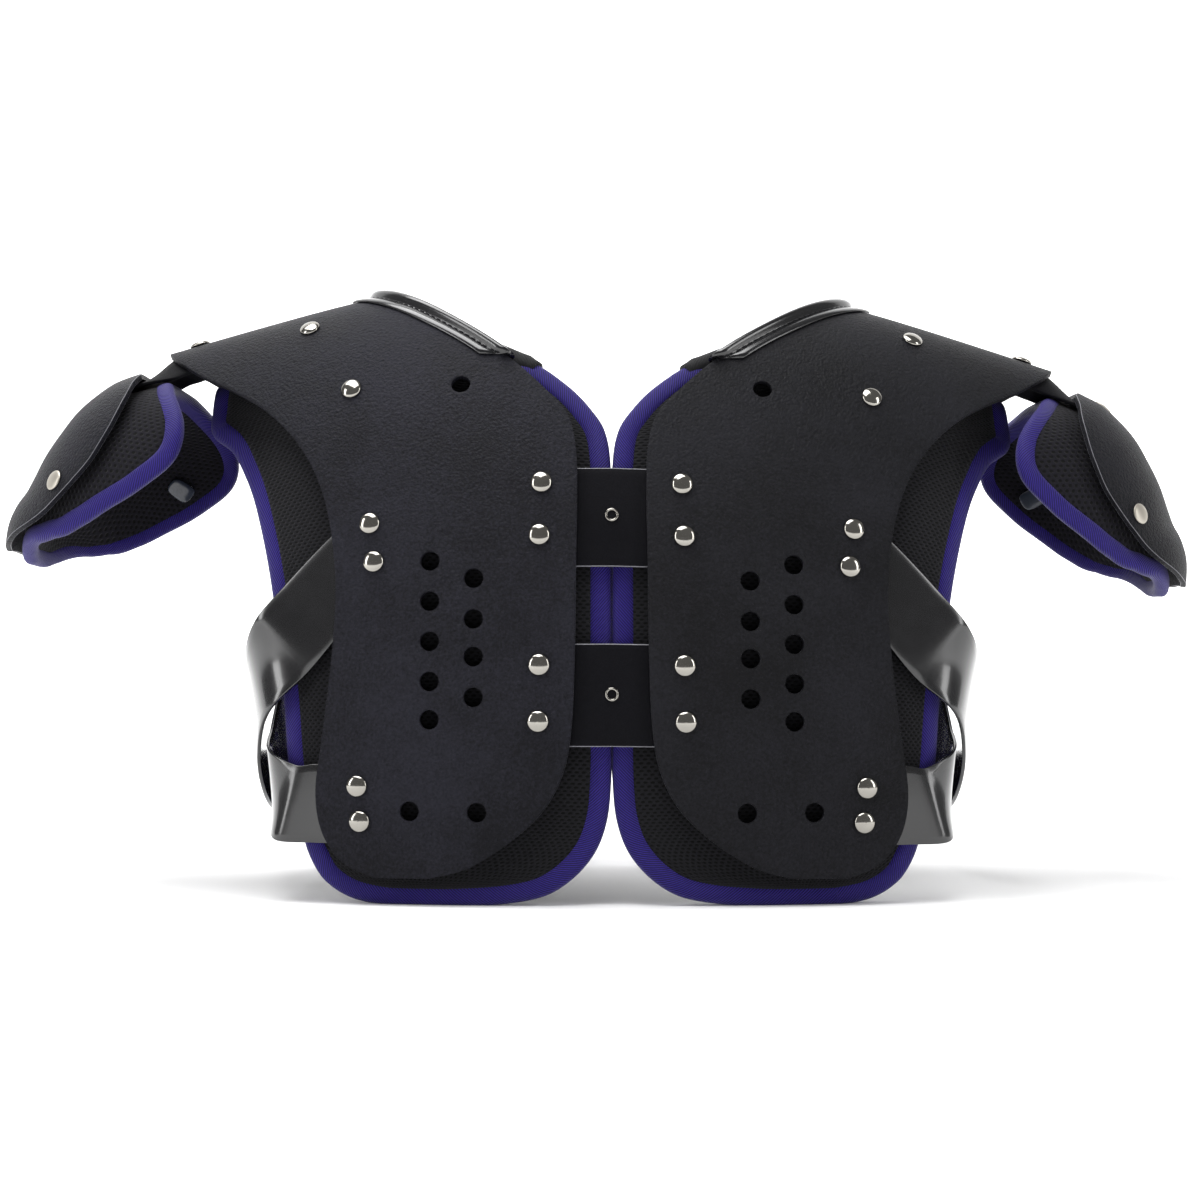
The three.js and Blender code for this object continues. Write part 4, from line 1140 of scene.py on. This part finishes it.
    def side_strap(self, name: str, stations: Sequence[Station], columns: int = 10) -> None:
        """A stiff glossy strap from the chest round the side to the back: lines slid across, and smoothed.

        Args:
            name: upper or lower, by where it leaves the chest.
            stations: its stations from front to back.
            columns: how many faces wide it is.
        """
        arch, depth = self.arch, STRAP_INSET + STRAP_WALL / 2
        on_form = np.array([station.turn is not None for station in stations])
        side = np.array([station.side for station in stations])
        turn = np.array([station.turn or 0.0 for station in stations])
        scale = [arch.reach * arch.hand, arch.depth, arch.crest]
        free = np.array([[station.side, station.fore, station.rise] for station in stations]) * scale
        at = np.where(on_form[:, None], arch.at(side, turn, depth), free)
        run = unit(np.vstack([at[1:2] - at[:1], at[2:] - at[:-2], at[-1:] - at[-2:-1]]))
        lean = np.full(len(at), -self.side_strap_lean)
        aside = np.stack([run[:, 1] * arch.hand, -run[:, 0] * arch.hand, lean], -1)
        normal = np.where(on_form[:, None], arch.slopes(side, turn, depth)[2], unit(aside))
        across = unit(np.cross(normal, run))
        shifts = np.linspace(-0.5, 0.5, columns + 1) * self.side_strap_width
        lines = []
        for shift in shifts:
            u, v = arch.slide(side, turn, across * shift, depth)
            _by_u, _by_v, lay = arch.slopes(u, v, depth)
            point = np.where(on_form[:, None], arch.at(u, v, depth), at + across * shift)
            lay = unit(smooth_line(np.where(on_form[:, None], lay, normal)))
            lines.append(np.hstack([smooth_line(point), lay * STRAP_WALL / 2]))
        grid = np.stack(lines, 1)
        name = f"side_strap_{name}_{self.half.name}"
        strap = self.maker.shell("gloss_" + name, grid[..., :3] + grid[..., 3:], grid[..., :3] - grid[..., 3:])
        soften(strap, 0.5)
        self.maker.finish(strap, self.finishes.strap_gloss, "gloss_strap", name)


def apply_modifiers(piece: Piece) -> None:
    """Turns a piece's modifiers into its mesh.

    Args:
        piece: the piece.
    """
    seen = piece.evaluated_get(bpy.context.evaluated_depsgraph_get())
    data = bpy.data.meshes.new_from_object(seen)
    piece.modifiers.clear()
    piece.data = data


def press_to_floor(piece: Piece) -> None:
    """Presses what would lie below the floor flat onto it: z = max(z, 0).

    Args:
        piece: the piece.
    """
    where = np.empty(len(piece.data.vertices) * 3, np.float32)
    piece.data.vertices.foreach_get("co", where)
    where[2::3] = np.maximum(where[2::3], 0)
    piece.data.vertices.foreach_set("co", where)


@dataclass
class Epaulet:
    """The cupped plate, bound pad, strap and tab that hang from one shoulder end."""

    half: Half
    maker: Maker
    finishes: Finishes
    binding_width: float = 10.0
    binding_thickness: float = 8.5
    fill: float = 0.8  # how firm the pad is
    strap_width: float = 54.0
    strap_sink: float = 0.9  # below its seat under the epaulet plate
    tab_along: float = 0.34
    tab_sweep: float = 1.12
    tab_length: float = 15.0
    tab_width: float = 12.0
    tab_gap: float = 0.6  # between the tab and the pad

    def __post_init__(self) -> None:
        """Makes the forms that its pieces lie on."""
        self.arch = ArchForm(self.half)
        self.form = EpauletForm(self.arch)
        self.plate = self.finishes.plates[0 if self.half.hand < 0 else 1]

    def build(self) -> None:
        """Builds every piece of the epaulet."""
        self.cup()
        self.pad()
        self.strap()
        self.tab()

    def outline(self, table: Sequence[tuple[float, float]], samples: int = 6) -> Array:
        """Along and half sweep of a table of spreads, smoothed."""
        return smooth_line(np.array(table), samples) * [1, self.form.sweep]

    def cup(self, columns: int = 48) -> None:
        """The cupped plate: its outline's width at each place along it, on the epaulet's form.

        Args:
            columns: how many faces wide it is.
        """
        line = self.outline(EPAULET_SPREAD)
        share = np.linspace(-1, 1, columns + 1)
        along = np.broadcast_to(line[:, :1], (len(line), len(share)))
        sweep = line[:, 1:] * share
        faces = [self.form.at(along, sweep, depth) for depth in (0.0, PLATE_WALL)]
        cup = self.maker.shell("epaulet_shell_" + self.half.name, *faces)
        cup.data.materials.append(self.plate)
        cup.data.materials.append(self.finishes.plate_edge)
        # the rounded edge takes slot 1, a painted highlight
        soften(cup, 0.7, slot=1)
        self.maker.finish(cup, self.plate, "plate", "epaulet_plate_" + self.half.name)

    def pad(self, rings: int = 16) -> None:
        """The cupped mesh pad and the bound edge round it.

        The pad is its outline scaled to the middle, ring by ring, and wall * (0.62 + 0.38 (1 - r^6)) thick.

        Args:
            rings: how many rings each face of the pad has.
        """
        middle = PAD_INSET + EPAULET_PAD_WALL / 2
        line = self.outline(EPAULET_PAD_SPREAD)
        loop = round_loop(self.form, np.vstack([line * [1, -1], line[::-1]]), middle)
        bead = bead_section(self.binding_width, self.binding_thickness)
        frames = loop_frames(self.form, loop, middle)
        bound = self.maker.sweep("epaulet_twill_binding_" + self.half.name, frames, bead, True)
        self.maker.finish(bound, self.finishes.binding, "binding", "epaulet_binding_" + self.half.name)
        core = np.array([0.42, 0.0])
        share = np.linspace(0, 1, rings + 1)[:, None]
        scale = [self.form.length, self.form.radius - middle]
        away = np.linalg.norm((loop - core) * scale, axis=-1)
        spots = core + (loop - core) * (share * (1 - self.binding_width / 2 / away))[..., None]
        depth = np.broadcast_to(EPAULET_PAD_WALL * (0.62 + 0.38 * (1 - share**6)) / 2, spots.shape[:2])
        outer, inner = (self.form.at(spots[..., 0], spots[..., 1], middle + k * depth) for k in (-1, 1))
        points = np.concatenate([outer, inner[::-1]])
        uv = np.concatenate([spots, spots[::-1]]) * scale
        uv = np.concatenate([uv, uv[:, :1]], 1)
        pad = self.maker.wrap("epaulet_mesh_pad_" + self.half.name, points, uv)
        self.maker.finish(pad, self.finishes.epaulet_mesh, "mesh_pad", "epaulet_pad_" + self.half.name)

    def strap(self, columns: int = 16) -> None:
        """The short strap from under the arch plate's end to under the epaulet plate: lines slid across, smoothed.

        Args:
            columns: how many faces wide it is.
        """
        depth = STRAP_INSET + STRAP_WALL / 2
        shifts = np.linspace(-0.5, 0.5, columns + 1) * self.strap_width
        under_arch = (self.arch, EPAULET_STRAP_SIDES, 1.0, 0.0)
        under_cup = (self.form, EPAULET_STRAP_ALONG, 0.0, self.strap_sink)
        lines = []
        for surface, starts, crest, sink in (under_arch, under_cup):
            start, fixed = np.array(starts), np.full(len(starts), crest)
            grid = []
            for shift in shifts:
                u, v = surface.slide(start, fixed, np.tile([0, shift, 0], (len(start), 1)), depth)
                grid.append(np.hstack([surface.at(u, v, depth + sink), surface.slopes(u, v, depth)[2]]))
            lines.append(np.stack(grid, 1))
        rough = np.concatenate(lines, 0)
        smooth = np.stack([smooth_line(rough[:, k], 5) for k in range(columns + 1)], 1)
        lay = unit(smooth[..., 3:]) * STRAP_WALL / 2
        faces = [smooth[..., :3] + lay, smooth[..., :3] - lay]
        strap = self.maker.shell("gloss_epaulet_strap_" + self.half.name, *faces)
        soften(strap, 0.5)
        self.maker.finish(strap, self.finishes.centre_strap, "gloss_strap", "epaulet_strap_" + self.half.name)

    def tab(self, count: int = 24) -> None:
        """The small rounded plate on the pad's inner face: a superellipse outline, in domed rings.

        Args:
            count: how many points its outline has.
        """
        depth = PAD_INSET + EPAULET_PAD_WALL + self.tab_gap
        radius = self.form.radius - depth
        ring = bead_section(2.0, 2.0, -1.0, 3.2, count)
        levels, heights = np.array(TAB_LEVELS).T
        u = self.tab_along + levels[:, None] * ring[:, 1] * self.tab_width / 2 / self.form.length
        v = self.tab_sweep + levels[:, None] * ring[:, 0] * self.tab_length / 2 / radius
        points = self.form.at(u, v, depth + np.broadcast_to(heights[:, None], u.shape))
        uv = np.zeros((len(points), count + 1, 2))
        tab = self.maker.wrap("epaulet_gloss_tab_" + self.half.name, points, uv)
        # its blue-grey colour is a painted glint on a black tab
        self.maker.finish(tab, self.finishes.tab, "gloss_strap", "epaulet_tab_" + self.half.name)


@dataclass
class Hardware:
    """Rivets, centre straps and eyelets."""

    maker: Maker
    finishes: Finishes
    rivet_radius: float = 5.5
    rivet_rise: float = 2.7
    rivet_rim: float = 0.5
    rivet_seat: float = 0.05  # its head's underside, above the plate
    shank_radius: float = 1.6
    tail_radius: float = 3.2
    tail_depth: float = 6.6
    tail_wall: float = 0.4
    eyelet_radius: float = 3.6
    eyelet_bore: float = 2.2
    strap_height: float = 52.0
    strap_reach: float = 47.0
    strap_turns: tuple[tuple[str, float], ...] = (("upper", 0.4215), ("lower", 0.217))

    def build(self) -> None:
        """Builds every rivet and centre strap."""
        for half in HALVES:
            arch = ArchForm(half)
            self.rivets(arch, PANEL_RIVETS, half, self.finishes.nickel, self.rivet_rise)
            low = self.rivet_rise * 0.7
            self.rivets(EpauletForm(arch), EPAULET_RIVETS, half, self.finishes.satin_nickel, low)
            self.back_rivets(arch, half)
        for name, turn in self.strap_turns:
            self.centre_strap("front", name, turn)
            self.centre_strap("back", name, 2 - turn)
            self.eyelet(name, turn)

    def rivet_outline(self, rise: float) -> Array:
        """A rivet from its tail to its crown, h = rim + (rise - rim) sqrt(1 - (r / R)^2).

        Args:
            rise: the height of its head in millimetres.

        Returns:
            Its outline as (radius, height), closed on the axis.
        """
        angle, axis = np.linspace(0, math.pi / 2, 9), 1e-3
        dome = np.stack([self.rivet_radius * np.cos(angle), np.sin(angle) * (rise - self.rivet_rim)], -1)
        dome = dome + [0, self.rivet_rim]
        dome[-1, 0] = axis
        tail, shank, under = -self.tail_depth, self.shank_radius, self.rivet_radius - 0.3
        below = [[axis, tail], [self.tail_radius, tail], [self.tail_radius, tail + self.tail_wall]]
        below += [[shank, tail + self.rivet_rim], [shank, self.rivet_seat], [under, self.rivet_seat]]
        return np.vstack([below, dome])

    def rivets(
        self, surface: Surface, spots: Sequence[Spot], half: Half, metal: Material, rise: float
    ) -> None:
        """Domed rivets, each on its own seat.

        Args:
            surface: the surface that they are seated on.
            spots: their names and places.
            half: the half that they belong to.
            metal: their finish.
            rise: the height of their heads in millimetres.
        """
        outline = self.rivet_outline(rise)
        for spot in spots:
            u, v = np.array([spot.u]), np.array([spot.v])
            name = f"{spot.name}_{half.name}"
            seat = (surface.at(u, v), surface.slopes(u, v)[2])
            rivet = self.maker.lathe("nickel_rivet_" + name, seat, outline)
            self.maker.finish(rivet, metal, "nickel", "rivet_" + name)

    def back_rivets(self, arch: ArchForm, half: Half) -> None:
        """The chest rivets' twins on the back, in one piece: turn -> 2 - turn.

        Args:
            arch: the form that they are seated on.
            half: the half that they belong to.
        """
        spots = [spot for spot in PANEL_RIVETS if spot.name.startswith(("centre", "side"))]
        u, v = np.array([spot.u for spot in spots]), np.array([2 - spot.v for spot in spots])
        seats = (arch.at(u, v), arch.slopes(u, v)[2])
        outline = self.rivet_outline(self.rivet_rise)
        heads = self.maker.lathe("nickel_back_rivets_" + half.name, seats, outline)
        self.maker.finish(heads, self.finishes.nickel, "nickel")

    def centre_strap(self, side: str, name: str, turn: float, rows: int = 12, columns: int = 24) -> None:
        """A strap under both plates at one turn of the form, bridging the gap between them.

        Args:
            side: front or back.
            name: upper or lower.
            turn: where its middle lies on the form.
            rows: how many faces high it is.
            columns: how many faces wide it is.
        """
        forms = [ArchForm(half) for half in HALVES]
        per_mm = 1 / np.linalg.norm(forms[1].slopes(np.array(0.0), np.array(turn), STRAP_INSET)[1])
        share = np.linspace(-1, 1, columns + 1)
        out = np.abs(share) * self.strap_reach / forms[1].reach
        up = turn + np.linspace(-0.5, 0.5, rows + 1)[:, None] * self.strap_height * per_mm
        u, v = np.broadcast_arrays(out[None], up)
        faces = []
        for depth in (STRAP_INSET, STRAP_INSET + STRAP_WALL):
            left, right = (form.at(u, v, depth) for form in forms)
            faces.append(np.where(share[None, :, None] < 0, left, right))
        strap = self.maker.shell(f"vinyl_{side}_strap_{name}", *faces)
        strap.data.materials.append(self.finishes.centre_strap)
        strap.data.materials.append(self.finishes.plate_edge)
        # the rounded edge takes slot 1, a painted highlight
        soften(strap, 0.5, slot=1)
        self.maker.finish(strap, self.finishes.centre_strap, "centre_strap", f"{side}_strap_{name}")

    def eyelet(self, name: str, turn: float) -> None:
        """A rolled ring round a small hole: a half circle turned round the strap's normal, with a shallow closed
        bore.

        Args:
            name: the strap's name.
            turn: where the strap's middle lies on the form.
        """
        form = ArchForm(HALVES[1])
        angle, axis = np.linspace(0, math.pi, 9), 0.01
        middle, thick = (self.eyelet_radius + self.eyelet_bore) / 2, (self.eyelet_radius - self.eyelet_bore) / 2
        ring = np.stack([middle + thick * np.cos(angle), 0.05 + 0.8 * np.sin(angle)], -1)
        below, bore = [[axis, -0.6], [self.eyelet_radius, -0.6]], [[self.eyelet_bore, -0.1], [axis, -0.1]]
        outline = np.vstack([below, ring, bore])
        side, turns = np.array([0.0]), np.array([turn])
        seat = (form.at(side, turns, STRAP_INSET), form.slopes(side, turns)[2])
        ring = self.maker.lathe("nickel_eyelet_" + name, seat, outline, 32)
        self.maker.finish(ring, self.finishes.nickel, "nickel", "eyelet_" + name)


@dataclass
class Studio:
    """A pale floor and sweep, soft lights and the camera of the photograph."""

    shift: Array
    distance: float = 1300.0  # from the camera to the chest
    width_seen: float = 600.0  # across the picture at that distance
    eye: tuple[float, float] = (-6.0, 156.0)
    half_width: float = 6.0  # of the floor, in metres like the next four
    front: float = -6.0
    flat: float = 1.4  # how far back the floor is flat
    bend: float = 0.9  # the radius of its curve up to the wall
    wall: float = 5.0
    aim: tuple[float, float, float] = (0, 0, 0.15)  # of the lights

    def build(self) -> None:
        """Builds the room."""
        self.floor()
        for name, where, size, power in LIGHTS:
            self.light(name, where, size, power)
        self.room()
        self.camera()

    def floor(self) -> None:
        """One curved sheet of acrylic, flat and then a quarter circle up to a wall, with painted light: it glows,
        more with distance.
        """
        angle = np.linspace(0, math.pi / 2, 24)
        curve = np.stack([self.flat + self.bend * np.sin(angle), self.bend * (1 - np.cos(angle))], -1)
        profile = np.vstack([[self.front, 0], curve, [self.flat + self.bend, self.wall]])
        n = len(profile)
        x = np.repeat([-self.half_width, self.half_width], n)
        points = np.hstack([x[:, None], np.tile(profile, (2, 1))])
        quads = [[i, i + n, i + n + 1, i + 1] for i in range(n - 1)]
        data = bpy.data.meshes.new("studio_sweep")
        data.from_pydata(points.tolist(), [], quads)
        data.polygons.foreach_set("use_smooth", np.full(len(quads), True))
        floor = bpy.data.objects.new("studio_sweep", data)
        bpy.context.scene.collection.objects.link(floor)
        shade = Shade("glowing_acrylic")
        place = shade.place()
        away = shade.vector("LENGTH", place, output="Value")
        inputs = {
            "Base Color": shade.blend(shade.noise(place, 3.0), "#f2f2f2", "#f8f8f8"),
            "Roughness": 0.9,
            # painted light: the floor glows, faintly near the pads and almost fully far off
            "Emission Strength": shade.rescale(away, 0.4, 1.6, (0.06, 0.95)),
            "Emission Color": (1.0, 1.0, 1.0, 1.0),
        }
        shade.fill(shade.shader, inputs)
        data.materials.append(shade.material)

    def light(self, name: str, where: tuple, size: tuple[float, float], power: float) -> None:
        """A rectangular soft light, aimed at the pads.

        Args:
            name: the light's name.
            where: its place in metres.
            size: its width and height in metres.
            power: its watts.
        """
        data = bpy.data.lights.new(name, "AREA")
        data.shape = "RECTANGLE"
        data.size, data.size_y = size
        data.energy = power
        lamp = bpy.data.objects.new(name, data)
        bpy.context.scene.collection.objects.link(lamp)
        lamp.location = where
        lamp.rotation_euler = (Vector(self.aim) - Vector(where)).to_track_quat("-Z", "Y").to_euler()

    def room(self) -> None:
        """Dim white light from all round."""
        world = bpy.data.worlds.new("white_room")
        bpy.context.scene.world = world
        world.use_nodes = True
        world.node_tree.nodes["Background"].inputs["Color"].default_value = (1, 1, 1, 1)
        world.node_tree.nodes["Background"].inputs["Strength"].default_value = 0.22
        bpy.context.scene.view_settings.view_transform = "Standard"

    def camera(self) -> None:
        """A level camera: lens = sensor * distance / width seen."""
        data = bpy.data.cameras.new("photo_camera")
        data.sensor_width = 36.0
        data.lens = data.sensor_width * self.distance / self.width_seen
        data.clip_end = 50
        eye = bpy.data.objects.new("photo_camera", data)
        bpy.context.scene.collection.objects.link(eye)
        chest = ArchForm(HALVES[0]).depth
        where = np.array([self.eye[0], -chest - self.distance, self.eye[1]]) + self.shift
        eye.location = where * MM
        eye.rotation_euler = (math.pi / 2, 0, 0)
        bpy.context.scene.camera = eye


def frame_shift() -> Array:
    """How far the frame moved the forms: x by a centre strap's middle, y by a plate's, z by the floor press."""
    strap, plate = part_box("front_strap_upper"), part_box("arch_plate_left")
    return np.array([(strap[0].x + strap[1].x) / 2 / MM, (plate[0].y + plate[1].y) / 2 / MM, -FLOOR_PRESS])


def main() -> None:
    """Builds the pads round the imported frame, and the room that they stand in."""
    logging.basicConfig(level=logging.INFO, format="%(message)s")
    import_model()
    maker = Maker(frame_shift())
    finishes = Finishes.build()
    Studio(maker.shift).build()
    for half in HALVES:
        ShoulderHalf(half, maker, finishes).build()
        Epaulet(half, maker, finishes).build()
    Hardware(maker, finishes).build()


if __name__ == "__main__":
    main()
